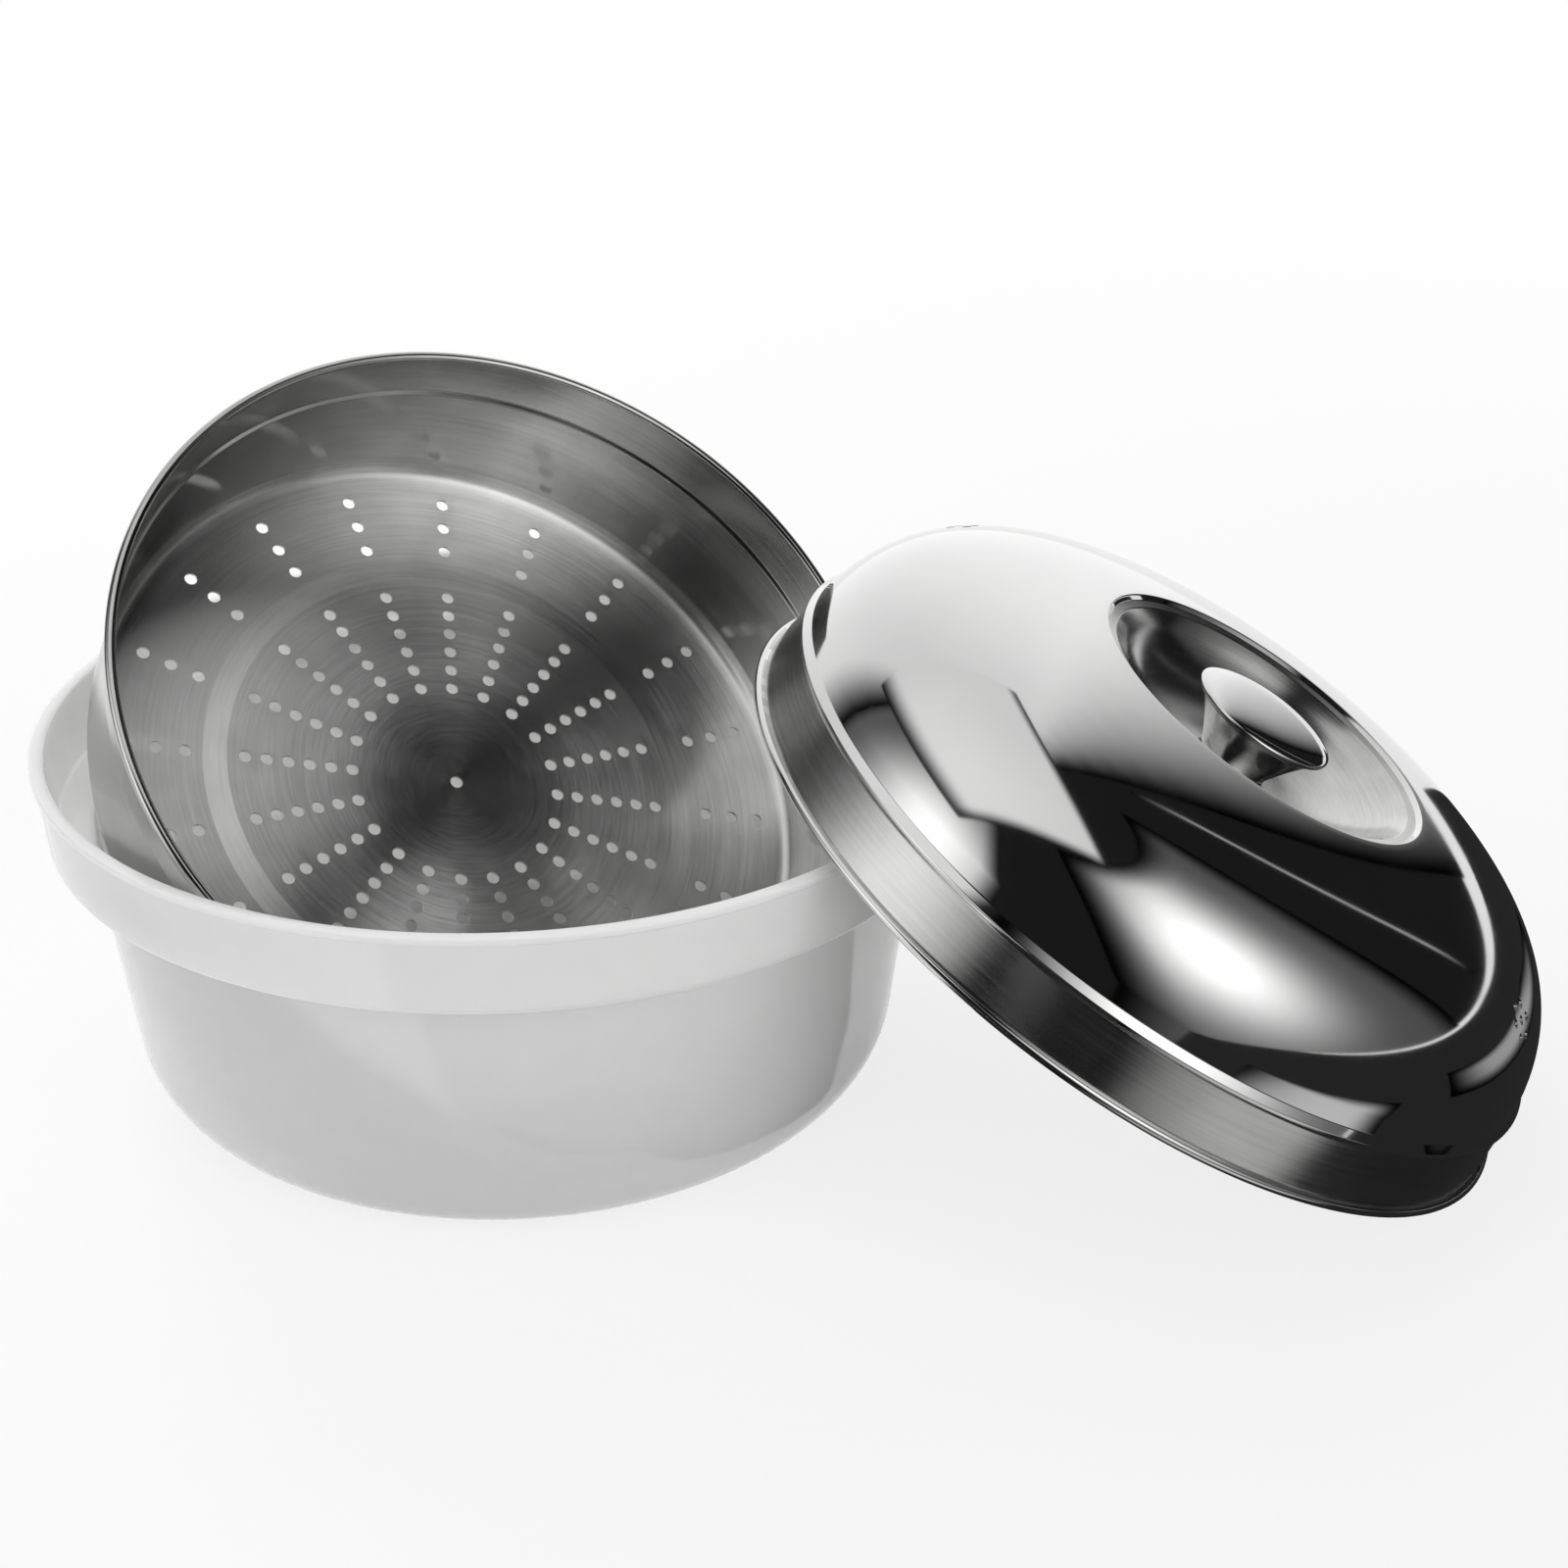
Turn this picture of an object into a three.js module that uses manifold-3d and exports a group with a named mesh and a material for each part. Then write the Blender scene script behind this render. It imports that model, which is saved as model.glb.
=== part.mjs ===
// Microwave steamer: a moulded bowl, a perforated steel tray and a domed steel lid.
// The tray stands tilted inside the bowl and the lid leans over the bowl's rim.
// Millimetres, +Z up, origin at the centre of the bowl's base, on the table.
import * as THREE from 'three';
import { mergeVertices } from 'three/addons/utils/BufferGeometryUtils.js';
import Module from 'manifold-3d';

const wasm = await Module();
wasm.setup();

// Facets and clearance
const RING_SIDES = 48;
const KNOB_SIDES = 20;
const HOLE_SIDES = 6;
const ARC_STEPS = 3;
const CORNER_STEPS = 5;
const ROUND_STEPS = 2;
const CURL_STEPS = 4;
const FLARE_STEPS = 4;
const CROWN_STEPS = 3;
const DOME_STEPS = 6;
const WELL_STEPS = 4;
const SEAT_GAP = 0.3;
const WELD_DISTANCE = 1e-4;
const SETTLE_STEPS = 14;
const ANGLE_HALVINGS = 7;
const DRILL_REACH = 2.8;

// Bowl, moulded in one piece
const BOWL_HEIGHT = 102;
const BOWL_RIM_RADIUS = 125;
const BOWL_WALL = 2.6;
const LIP_OVERHANG = 1.2;
const LIP_DEPTH = 1.7;
const LIP_ROUND = 0.7;
const COLLAR_TOP_RADIUS = BOWL_RIM_RADIUS - LIP_OVERHANG;
const COLLAR_TAPER = 1.7;
const COLLAR_DEPTH = 21.8;
const COLLAR_ROUND = 1.6;
const COLLAR_FOOT_RADIUS = COLLAR_TOP_RADIUS - COLLAR_TAPER;
const COLLAR_STEP = 10.1;
const CUP_TOP_RADIUS = COLLAR_FOOT_RADIUS - COLLAR_STEP;
const CUP_DRAFT = THREE.MathUtils.degToRad(7.4);
const CUP_CORNER = 23.4;

// Tray, pressed from steel sheet; in use its rim rests on the ledge round the bowl's cup
const TRAY_SHEET = 0.7;
const TRAY_RIM_REST = 0.7;
const TRAY_RIM_RADIUS = CUP_TOP_RADIUS - BOWL_WALL + TRAY_RIM_REST;
const TRAY_HEIGHT = 52.8;
const TRAY_CURL = 1.5;
const TRAY_BEAD_HEIGHT = 38;
const TRAY_BEAD_STEP = 1;
const TRAY_COLLAR_FLARE = 0.6;
const TRAY_WALL_FLARE = 2.6;
const TRAY_CORNER = 5;
const TRAY_COLLAR_TOP = TRAY_RIM_RADIUS - 2 * TRAY_CURL;
const TRAY_COLLAR_FOOT = TRAY_COLLAR_TOP - TRAY_COLLAR_FLARE;
const TRAY_WALL_TOP = TRAY_COLLAR_FOOT - TRAY_BEAD_STEP;
const TRAY_FLOOR_RADIUS = TRAY_WALL_TOP - TRAY_WALL_FLARE - TRAY_CORNER;
const TRAY_BORDER = 26;
const DISC_RISE = 0.8;
const DISC_SLOPE_WIDTH = 6.5;
const DISC_RADIUS = TRAY_FLOOR_RADIUS - TRAY_BORDER - DISC_SLOPE_WIDTH;
const HOLE_DIAMETER = 3.6;
const HOLE_ROWS = 20;
const INNER_HOLES = 6;
const INNER_MARGIN = 5.05;
const INNER_PITCH = 6.03;
const OUTER_HOLES = 3;
const OUTER_MARGIN = 5.12;
const OUTER_PITCH = 8.09;

// Lid, pressed from steel sheet; in use its lip sits inside the bowl's collar
// Heights count from the middle of its rolled lip
const LID_SHEET = 0.7;
const LID_CLEARANCE = 2.5;
const LID_LIP_RADIUS = COLLAR_FOOT_RADIUS - BOWL_WALL - LID_CLEARANCE;
const LID_LIP_BEAD = 1.2;
const SKIRT_INSET = 2.1;
const SKIRT_TAPER = 1.8;
const LEDGE_HEIGHT = 17.3;
const LEDGE_WIDTH = 0.9;
const LEDGE_DEPTH = 0.9;
const DOME_SETBACK = 1.6;
const SKIRT_FOOT_RADIUS = LID_LIP_RADIUS - SKIRT_INSET;
const SKIRT_TOP_RADIUS = SKIRT_FOOT_RADIUS - SKIRT_TAPER;
const LEDGE_RADIUS = SKIRT_TOP_RADIUS + LEDGE_WIDTH;
const DOME_FOOT_RADIUS = LEDGE_RADIUS - DOME_SETBACK;
const DOME_FOOT_RISE = 2;
const DOME_TOP_HEIGHT = 61.5;
const DOME_LEAN_IN = 5;
const DOME_SIDE_RISE = 23.7;
const DOME_CROWN_REACH = 40.9;
const DOME_CROWN_DROP = 3.6;
const WELL_RADIUS = 49;
const WELL_DEPTH = 15;
const WELL_EDGE = 1.2;
const SEAT_MARGIN = 4;
const WELL_VENT_DIAMETER = 4;
const WELL_VENT_RADIUS = 26;
const WELL_VENT_AZIMUTH = THREE.MathUtils.degToRad(181.5);
const DOME_VENT_DIAMETER = 2.6;
const DOME_VENT_SETBACK = 13.8;
const DOME_VENT_RADIUS = DOME_FOOT_RADIUS - DOME_VENT_SETBACK;
const DOME_VENT_RING_STEP = 3;
const DOME_VENT_SPACING = 4.6;
const DOME_VENT_RINGS = [2, 3, 2];
const DOME_VENT_AZIMUTHS = [-29.5, 150.5].map(THREE.MathUtils.degToRad);

// Knob and its fastening
const KNOB_RADIUS = 20;
const KNOB_CAP_EDGE = 1.6;
const KNOB_CAP_CROWN = 2.2;
const KNOB_CAP_SHOULDER = 3.7;
const KNOB_HEIGHT = 16.9;
const KNOB_FOOT_RADIUS = 10;
const KNOB_FOOT_HEIGHT = 0.5;
const KNOB_FLARE_SPREAD = 4.5;
const KNOB_FLARE_DEPTH = 4;
const KNOB_FLARE_EDGE = 0.4;
const KNOB_FLARE_INSET = 1.8;
const SEAT_RADIUS = KNOB_FOOT_RADIUS + SEAT_MARGIN;
const SCREW_RADIUS = 2.4;
const SCREW_REACH = 9;
const SCREW_HEAD_RADIUS = 4.6;
const SCREW_HEAD_HEIGHT = 2.8;
const SCREW_HEAD_ROUND = 1.2;
const WASHER_RADIUS = 7;
const WASHER_SHEET = 1;

// How the loose pieces lie: heading is the compass way a piece's axis tips towards
const TRAY_TILT = THREE.MathUtils.degToRad(41.2);
const TRAY_HEADING = THREE.MathUtils.degToRad(-50.9);
const TRAY_HOLE_TURN = THREE.MathUtils.degToRad(154.5);
const TRAY_CENTRE = new THREE.Vector2(-17.9, 22.5);
const LID_TILT = THREE.MathUtils.degToRad(31.8);
const LID_HEADING = THREE.MathUtils.degToRad(-4.6);
const LID_SIDE_SHIFT = -12.7;

// Materials
function finish(color, roughness, metalness) {
  return new THREE.MeshStandardMaterial({ color, roughness, metalness });
}

const whitePolypropylene = finish(0xe9e9e9, 0.25, 0);
const brushedSteel = finish(0xb9b9b9, 0.35, 1);
const polishedSteel = finish(0xcfcfcf, 0.08, 1);
const zincSteel = finish(0xa8a8a8, 0.4, 1);

const point = (radius, height) => new THREE.Vector2(radius, height);

// Points of an arc in a section, from one angle to another about its centre
function arc(centre, radius, from, to, steps = ARC_STEPS) {
  const points = [];
  for (let i = 0; i <= steps; i += 1) {
    const angle = from + ((to - from) * i) / steps;
    points.push(point(centre.x + radius * Math.cos(angle), centre.y + radius * Math.sin(angle)));
  }
  return points;
}

// A line moved sideways to the right of its way by a sheet's thickness
function besideLine(line, distance) {
  return line.map((here, i) => {
    const before = line[Math.max(i - 1, 0)];
    const after = line[Math.min(i + 1, line.length - 1)];
    const arriving = i > 0 ? here.clone().sub(before).normalize() : after.clone().sub(here).normalize();
    const leaving = i < line.length - 1 ? after.clone().sub(here).normalize() : arriving;
    const bisector = arriving.clone().add(leaving).normalize();
    const reach = distance / bisector.dot(arriving);
    return point(here.x + bisector.y * reach, here.y - bisector.x * reach);
  });
}

// A closed solid from a three.js geometry, and back again
function toSolid(geometry) {
  const bare = geometry.index ? geometry.toNonIndexed() : geometry.clone();
  bare.deleteAttribute('normal');
  bare.deleteAttribute('uv');
  const merged = mergeVertices(bare, WELD_DISTANCE);
  const corners = Array.from(merged.index.array);
  const triVerts = [];
  for (let i = 0; i < corners.length; i += 3) {
    const [a, b, c] = corners.slice(i, i + 3);
    if (a !== b && b !== c && c !== a) triVerts.push(a, b, c);
  }
  const vertProperties = new Float32Array(merged.attributes.position.array);
  const mesh = new wasm.Mesh({ numProp: 3, vertProperties, triVerts: new Uint32Array(triVerts) });
  return new wasm.Manifold(mesh);
}

function toGeometry(solid) {
  const mesh = solid.getMesh();
  const geometry = new THREE.BufferGeometry();
  geometry.setAttribute('position', new THREE.BufferAttribute(mesh.vertProperties, mesh.numProp));
  geometry.setIndex(new THREE.BufferAttribute(mesh.triVerts, 1));
  geometry.computeVertexNormals();
  return geometry;
}

// A section turned about Z: radius is X and height is Z
function turned(section, sides, closed) {
  const outline = closed ? [...section, section[0]] : section;
  return new THREE.LatheGeometry(outline, sides).rotateX(Math.PI / 2);
}

// A drill through a turned piece's sheet, leaning out from upright
function drill(diameter, radius, azimuth, height, lean) {
  const tool = new THREE.CylinderGeometry(diameter / 2, diameter / 2, 2 * DRILL_REACH, HOLE_SIDES);
  return tool.rotateX(Math.PI / 2).rotateY(lean).translate(radius, 0, height).rotateZ(azimuth);
}

// Bowl section: up the outside, over the lip, down the inside
function bowlSection() {
  const collarBottom = BOWL_HEIGHT - COLLAR_DEPTH;
  const ledge = collarBottom + BOWL_WALL;
  const slope = Math.tan(CUP_DRAFT);
  const outerWallAt = (height) => CUP_TOP_RADIUS - slope * (collarBottom - height);
  const wallAt = (height, inset) => outerWallAt(height) - inset / Math.cos(CUP_DRAFT);
  const corner = (floor, radius, inset) => {
    const height = floor + radius;
    return point(wallAt(height, inset) - radius / Math.cos(CUP_DRAFT), height);
  };
  const outerCorner = corner(0, CUP_CORNER, 0);
  const innerRound = CUP_CORNER - BOWL_WALL;
  const innerCorner = corner(BOWL_WALL, innerRound, BOWL_WALL);
  const collarFoot = point(COLLAR_FOOT_RADIUS - COLLAR_ROUND, collarBottom + COLLAR_ROUND);
  const lipBottom = BOWL_HEIGHT - LIP_DEPTH;
  const lipTop = point(BOWL_RIM_RADIUS - LIP_ROUND, BOWL_HEIGHT - LIP_ROUND);
  const lipInner = COLLAR_TOP_RADIUS - BOWL_WALL;
  return [
    point(0, 0),
    ...arc(outerCorner, CUP_CORNER, -Math.PI / 2, -CUP_DRAFT, CORNER_STEPS),
    point(outerWallAt(collarBottom), collarBottom),
    ...arc(collarFoot, COLLAR_ROUND, -Math.PI / 2, 0, ROUND_STEPS),
    point(COLLAR_TOP_RADIUS, lipBottom - LIP_OVERHANG / 2),
    point(BOWL_RIM_RADIUS, lipBottom),
    ...arc(lipTop, LIP_ROUND, 0, Math.PI / 2, ROUND_STEPS),
    point(lipInner, BOWL_HEIGHT),
    point(COLLAR_FOOT_RADIUS - BOWL_WALL, ledge),
    point(wallAt(ledge, BOWL_WALL), ledge),
    ...arc(innerCorner, innerRound, -CUP_DRAFT, -Math.PI / 2, CORNER_STEPS),
    point(0, BOWL_WALL),
  ];
}

// Tray section: the pressed inside surface, and the outside one sheet beyond it
function traySection() {
  const curlCentre = point(TRAY_RIM_RADIUS - TRAY_CURL, TRAY_HEIGHT - TRAY_CURL);
  const border = TRAY_SHEET;
  const disc = border + DISC_RISE;
  const cornerCentre = point(TRAY_FLOOR_RADIUS, border + TRAY_CORNER);
  const inside = [
    point(0, disc),
    point(DISC_RADIUS, disc),
    point(DISC_RADIUS + DISC_SLOPE_WIDTH, border),
    ...arc(cornerCentre, TRAY_CORNER, -Math.PI / 2, 0),
    point(TRAY_WALL_TOP, TRAY_BEAD_HEIGHT - TRAY_BEAD_STEP),
    point(TRAY_COLLAR_FOOT, TRAY_BEAD_HEIGHT),
    point(TRAY_COLLAR_TOP, curlCentre.y),
  ];
  const outside = besideLine(inside, TRAY_SHEET);
  outside[0].x = 0;
  outside[outside.length - 1].y -= TRAY_CURL;
  const curl = arc(curlCentre, TRAY_CURL, -Math.PI / 2, Math.PI, CURL_STEPS);
  return [...outside, ...curl, ...inside.slice(0, -1).reverse()];
}

// Every hole of the tray's pattern: one in the centre, then rows of inner and outer holes
function trayHoles() {
  const upright = (radius, azimuth) => drill(HOLE_DIAMETER, radius, azimuth, TRAY_SHEET, 0);
  const drills = [upright(0, 0)];
  const rings = [];
  for (let i = 0; i < INNER_HOLES; i += 1) rings.push(DISC_RADIUS - INNER_MARGIN - i * INNER_PITCH);
  for (let i = 0; i < OUTER_HOLES; i += 1) rings.push(TRAY_FLOOR_RADIUS - OUTER_MARGIN - i * OUTER_PITCH);
  for (let row = 0; row < HOLE_ROWS; row += 1) {
    const azimuth = TRAY_HOLE_TURN + (row * 2 * Math.PI) / HOLE_ROWS;
    rings.forEach((radius) => drills.push(upright(radius, azimuth)));
  }
  return drills;
}

// Lid section: rolled lip, skirt, ledge, dome, then the well with its flat seat for the knob
function lidOutside() {
  const ledgeTop = LEDGE_HEIGHT + LEDGE_DEPTH;
  const domeFoot = point(DOME_FOOT_RADIUS, ledgeTop + DOME_FOOT_RISE);
  const wellRim = point(WELL_RADIUS, DOME_TOP_HEIGHT);
  const dome = new THREE.CubicBezierCurve(
    domeFoot,
    point(domeFoot.x - DOME_LEAN_IN, domeFoot.y + DOME_SIDE_RISE),
    point(wellRim.x + DOME_CROWN_REACH, wellRim.y - DOME_CROWN_DROP),
    wellRim,
  );
  const seatHeight = DOME_TOP_HEIGHT - WELL_DEPTH;
  const dish = new THREE.QuadraticBezierCurve(
    point(WELL_RADIUS - WELL_EDGE, DOME_TOP_HEIGHT - WELL_EDGE),
    point((WELL_RADIUS + SEAT_RADIUS) / 2, seatHeight),
    point(SEAT_RADIUS, seatHeight),
  );
  return [
    point(SKIRT_FOOT_RADIUS, LID_LIP_BEAD),
    point(SKIRT_TOP_RADIUS, LEDGE_HEIGHT - LEDGE_WIDTH),
    point(LEDGE_RADIUS, LEDGE_HEIGHT),
    point(LEDGE_RADIUS, ledgeTop),
    ...dome.getPoints(DOME_STEPS),
    ...dish.getPoints(WELL_STEPS),
    point(SCREW_RADIUS + SEAT_GAP, seatHeight),
  ];
}

function lidSection() {
  const outside = lidOutside();
  const inside = besideLine(outside, -LID_SHEET);
  inside[0].y = 0;
  const beadCentre = point(LID_LIP_RADIUS - LID_LIP_BEAD, 0);
  const bead = arc(beadCentre, LID_LIP_BEAD, -Math.PI, Math.PI / 2, CURL_STEPS);
  return [...bead, ...outside, ...inside.reverse()];
}

// The lid's outside surface over a radius of its dome or well: its height, and its outward lean
function lidSurfaceAt(radius) {
  const line = lidOutside();
  const i = line.findLastIndex((place) => place.x >= radius);
  const outer = line[i];
  const inner = line[i + 1];
  const slope = (outer.y - inner.y) / (outer.x - inner.x);
  return { height: inner.y + slope * (radius - inner.x), lean: -Math.atan(slope) };
}

// Steam vents: two clusters low on the dome and one hole in the well
function lidVents() {
  const drills = [];
  const vent = (diameter, radius, azimuth) => {
    const { height, lean } = lidSurfaceAt(radius);
    drills.push(drill(diameter, radius, azimuth, height, lean));
  };
  const middle = (count) => (count - 1) / 2;
  DOME_VENT_AZIMUTHS.forEach((azimuth) => {
    DOME_VENT_RINGS.forEach((count, ring) => {
      const radius = DOME_VENT_RADIUS + (ring - middle(DOME_VENT_RINGS.length)) * DOME_VENT_RING_STEP;
      for (let i = 0; i < count; i += 1) {
        vent(DOME_VENT_DIAMETER, radius, azimuth + ((i - middle(count)) * DOME_VENT_SPACING) / radius);
      }
    });
  });
  vent(WELL_VENT_DIAMETER, WELL_VENT_RADIUS, WELL_VENT_AZIMUTH);
  return drills;
}

// Cuts a set of drills out of a turned piece
function drilled(geometry, drills) {
  const solid = drills.reduce((body, tool) => body.subtract(toSolid(tool)), toSolid(geometry));
  return toGeometry(solid);
}

// Knob pieces, stacked on the seat of the well
const seatHeight = DOME_TOP_HEIGHT - WELL_DEPTH;
const knobFoot = seatHeight + SEAT_GAP;
const capUnderside = knobFoot + KNOB_HEIGHT - KNOB_CAP_EDGE - KNOB_CAP_CROWN;

function capSection() {
  const round = KNOB_CAP_EDGE / 2;
  const edgeCentre = point(KNOB_RADIUS - round, capUnderside + round);
  const top = capUnderside + KNOB_CAP_EDGE;
  const crown = new THREE.QuadraticBezierCurve(
    point(edgeCentre.x, top),
    point(edgeCentre.x - KNOB_CAP_SHOULDER, top + KNOB_CAP_CROWN),
    point(0, top + KNOB_CAP_CROWN),
  );
  return [
    point(0, capUnderside),
    ...arc(edgeCentre, round, -Math.PI / 2, Math.PI / 2),
    ...crown.getPoints(CROWN_STEPS).slice(1),
  ];
}

function stemSection() {
  const top = capUnderside - SEAT_GAP;
  const flareRadius = KNOB_RADIUS - KNOB_FLARE_INSET;
  const flare = new THREE.QuadraticBezierCurve(
    point(KNOB_FOOT_RADIUS, knobFoot + KNOB_FOOT_HEIGHT),
    point(KNOB_FOOT_RADIUS + KNOB_FLARE_SPREAD, top - KNOB_FLARE_DEPTH),
    point(flareRadius, top - KNOB_FLARE_EDGE),
  );
  const bore = SCREW_RADIUS + SEAT_GAP;
  const boreTop = knobFoot + SCREW_REACH + SEAT_GAP;
  return [
    point(bore, knobFoot),
    point(KNOB_FOOT_RADIUS, knobFoot),
    ...flare.getPoints(FLARE_STEPS),
    point(flareRadius, top),
    point(0, top),
    point(0, boreTop),
    point(bore, boreTop),
  ];
}

const washerTop = seatHeight - LID_SHEET - SEAT_GAP;
const headTop = washerTop - WASHER_SHEET - SEAT_GAP;

function washerSection() {
  const bore = SCREW_RADIUS + SEAT_GAP;
  return [
    point(bore, washerTop - WASHER_SHEET),
    point(WASHER_RADIUS, washerTop - WASHER_SHEET),
    point(WASHER_RADIUS, washerTop),
    point(bore, washerTop),
  ];
}

function screwSection() {
  const headBottom = headTop - SCREW_HEAD_HEIGHT;
  const edgeCentre = point(SCREW_HEAD_RADIUS - SCREW_HEAD_ROUND, headBottom + SCREW_HEAD_ROUND);
  return [
    point(0, headBottom),
    ...arc(edgeCentre, SCREW_HEAD_ROUND, -Math.PI / 2, 0, ROUND_STEPS),
    point(SCREW_HEAD_RADIUS, headTop),
    point(SCREW_RADIUS, headTop),
    point(SCREW_RADIUS, knobFoot + SCREW_REACH),
    point(0, knobFoot + SCREW_REACH),
  ];
}

// Distance from a place in a section's half plane to the section; below zero inside it
function sectionDistance(section, radius, height) {
  let nearest = Infinity;
  let inside = false;
  for (let i = 0; i < section.length; i += 1) {
    const a = section[i];
    const b = section[(i + 1) % section.length];
    const span = b.clone().sub(a);
    const along = ((radius - a.x) * span.x + (height - a.y) * span.y) / span.lengthSq();
    const t = THREE.MathUtils.clamp(along, 0, 1);
    nearest = Math.min(nearest, Math.hypot(radius - a.x - t * span.x, height - a.y - t * span.y));
    const crosses = a.y > height !== b.y > height;
    if (crosses && radius < a.x + (span.x * (height - a.y)) / span.y) inside = !inside;
  }
  return inside ? -nearest : nearest;
}

// Least gap of one turned piece's rings to another turned piece, each in its own pose
function ringGap(section, pose, other, otherPose) {
  const across = otherPose.clone().invert().multiply(pose);
  const place = new THREE.Vector3();
  const gapAt = (corner, angle) => {
    place.set(corner.x * Math.cos(angle), corner.x * Math.sin(angle), corner.y).applyMatrix4(across);
    return sectionDistance(other, Math.hypot(place.x, place.y), place.z);
  };
  const gaps = section.map((corner) => {
    const side = (2 * Math.PI) / RING_SIDES;
    let nearest = 0;
    for (let i = 1; i < RING_SIDES; i += 1) {
      if (gapAt(corner, i * side) < gapAt(corner, nearest)) nearest = i * side;
    }
    for (let i = 1; i <= ANGLE_HALVINGS; i += 1) {
      const step = side / 2 ** i;
      const tries = [nearest - step, nearest, nearest + step];
      nearest = tries.reduce((best, angle) => (gapAt(corner, angle) < gapAt(corner, best) ? angle : best));
    }
    return gapAt(corner, nearest);
  });
  return Math.min(...gaps);
}

const pieceGap = (a, poseA, b, poseB) => Math.min(ringGap(a, poseA, b, poseB), ringGap(b, poseB, a, poseA));

// A pose that tips a piece's axis by tilt towards a heading
function tipped(tilt, heading, x, y, z) {
  const turn = new THREE.Matrix4().makeRotationZ(heading);
  const tip = new THREE.Matrix4().makeRotationY(tilt);
  return new THREE.Matrix4().makeTranslation(x, y, z).multiply(turn).multiply(tip);
}

// The least travel, between two bounds, that leaves the seat clearance beside the flattest facet
function settle(gapAt, near, far) {
  const facetDepth = BOWL_RIM_RADIUS * (1 - Math.cos(Math.PI / RING_SIDES));
  let [low, high] = [near, far];
  for (let i = 0; i < SETTLE_STEPS; i += 1) {
    const middle = (low + high) / 2;
    if (gapAt(middle) < SEAT_GAP + facetDepth) low = middle;
    else high = middle;
  }
  return high;
}

const bowl = bowlSection();
const tray = traySection();
const lid = lidSection();
const standing = new THREE.Matrix4();

// The tray comes down on its tilt until its corner meets the bowl
const trayAt = (height) => tipped(TRAY_TILT, TRAY_HEADING, TRAY_CENTRE.x, TRAY_CENTRE.y, height);
const trayGap = (height) => pieceGap(tray, trayAt(height), bowl, standing);
const trayPose = trayAt(settle(trayGap, BOWL_WALL, BOWL_HEIGHT));

// The lid stands on its lip and slides in along its heading until it meets the bowl or the tray
const lipCentreHeight = (LID_LIP_RADIUS - LID_LIP_BEAD) * Math.sin(LID_TILT) + LID_LIP_BEAD + SEAT_GAP;
const lidAt = (distance) => tipped(LID_TILT, LID_HEADING,
  distance * Math.cos(LID_HEADING) - LID_SIDE_SHIFT * Math.sin(LID_HEADING),
  distance * Math.sin(LID_HEADING) + LID_SIDE_SHIFT * Math.cos(LID_HEADING), lipCentreHeight);
const lidGap = (distance) => Math.min(
  pieceGap(lid, lidAt(distance), bowl, standing),
  pieceGap(lid, lidAt(distance), tray, trayPose),
);
const lidPose = lidAt(settle(lidGap, BOWL_RIM_RADIUS, BOWL_RIM_RADIUS + LID_LIP_RADIUS));

// Assembly
const steamer = new THREE.Group();

function addPiece(name, geometry, material, pose) {
  const mesh = new THREE.Mesh(geometry, material);
  mesh.name = name;
  mesh.applyMatrix4(pose);
  steamer.add(mesh);
}

addPiece('bowl', toGeometry(toSolid(turned(bowl, RING_SIDES, false))), whitePolypropylene, standing);
addPiece('steamer_tray', drilled(turned(tray, RING_SIDES, false), trayHoles()), brushedSteel, trayPose);
addPiece('lid_shell', drilled(turned(lid, RING_SIDES, true), lidVents()), polishedSteel, lidPose);
addPiece('knob_cap', toGeometry(toSolid(turned(capSection(), KNOB_SIDES, false))), polishedSteel, lidPose);
addPiece('knob_stem', toGeometry(toSolid(turned(stemSection(), KNOB_SIDES, true))), polishedSteel, lidPose);
addPiece('knob_screw', toGeometry(toSolid(turned(screwSection(), KNOB_SIDES, false))), zincSteel, lidPose);
addPiece('knob_washer', toGeometry(toSolid(turned(washerSection(), KNOB_SIDES, true))), zincSteel, lidPose);

export default steamer;
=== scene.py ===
# %% [markdown]
# # A microwave steamer, piece by piece
# The steamer is three loose vessels: a white moulded bowl, a perforated steel tray that stands tilted
# inside it, and a domed steel lid with a knob that leans over the rim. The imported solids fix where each
# piece stands and how it moves. This lesson builds a finer surface over each solid, gives it the finish of
# the real material, and lights it as a small product studio would.

# %% Load the frame
import math

import bmesh
import bpy
import numpy as np
from mathutils import Matrix, Vector


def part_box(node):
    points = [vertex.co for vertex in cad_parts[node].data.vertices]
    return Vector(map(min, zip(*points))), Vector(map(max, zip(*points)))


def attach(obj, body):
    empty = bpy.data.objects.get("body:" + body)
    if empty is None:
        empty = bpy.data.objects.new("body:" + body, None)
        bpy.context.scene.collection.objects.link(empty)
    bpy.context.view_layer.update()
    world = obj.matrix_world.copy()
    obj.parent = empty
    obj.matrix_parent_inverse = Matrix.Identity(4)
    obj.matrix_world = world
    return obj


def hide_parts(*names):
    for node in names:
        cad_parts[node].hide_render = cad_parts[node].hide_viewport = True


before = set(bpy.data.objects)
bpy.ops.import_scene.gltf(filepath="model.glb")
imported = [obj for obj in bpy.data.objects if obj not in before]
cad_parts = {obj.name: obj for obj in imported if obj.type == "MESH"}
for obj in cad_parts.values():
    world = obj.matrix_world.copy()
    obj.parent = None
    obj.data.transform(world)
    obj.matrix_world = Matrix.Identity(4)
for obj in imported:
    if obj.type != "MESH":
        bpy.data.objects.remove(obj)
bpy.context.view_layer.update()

# %% [markdown]
# ## Sections
# Every piece here is a body of revolution, so its whole form is one section: a line of (radius, height)
# places in millimetres that is turned about an axis. A pressed or moulded edge is never perfectly sharp, and
# its small round is what catches the light. So corners are listed with a round, and one helper replaces each
# corner by an arc. Modelling the rounds this way keeps them exact, where a bevel would have to guess.

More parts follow.
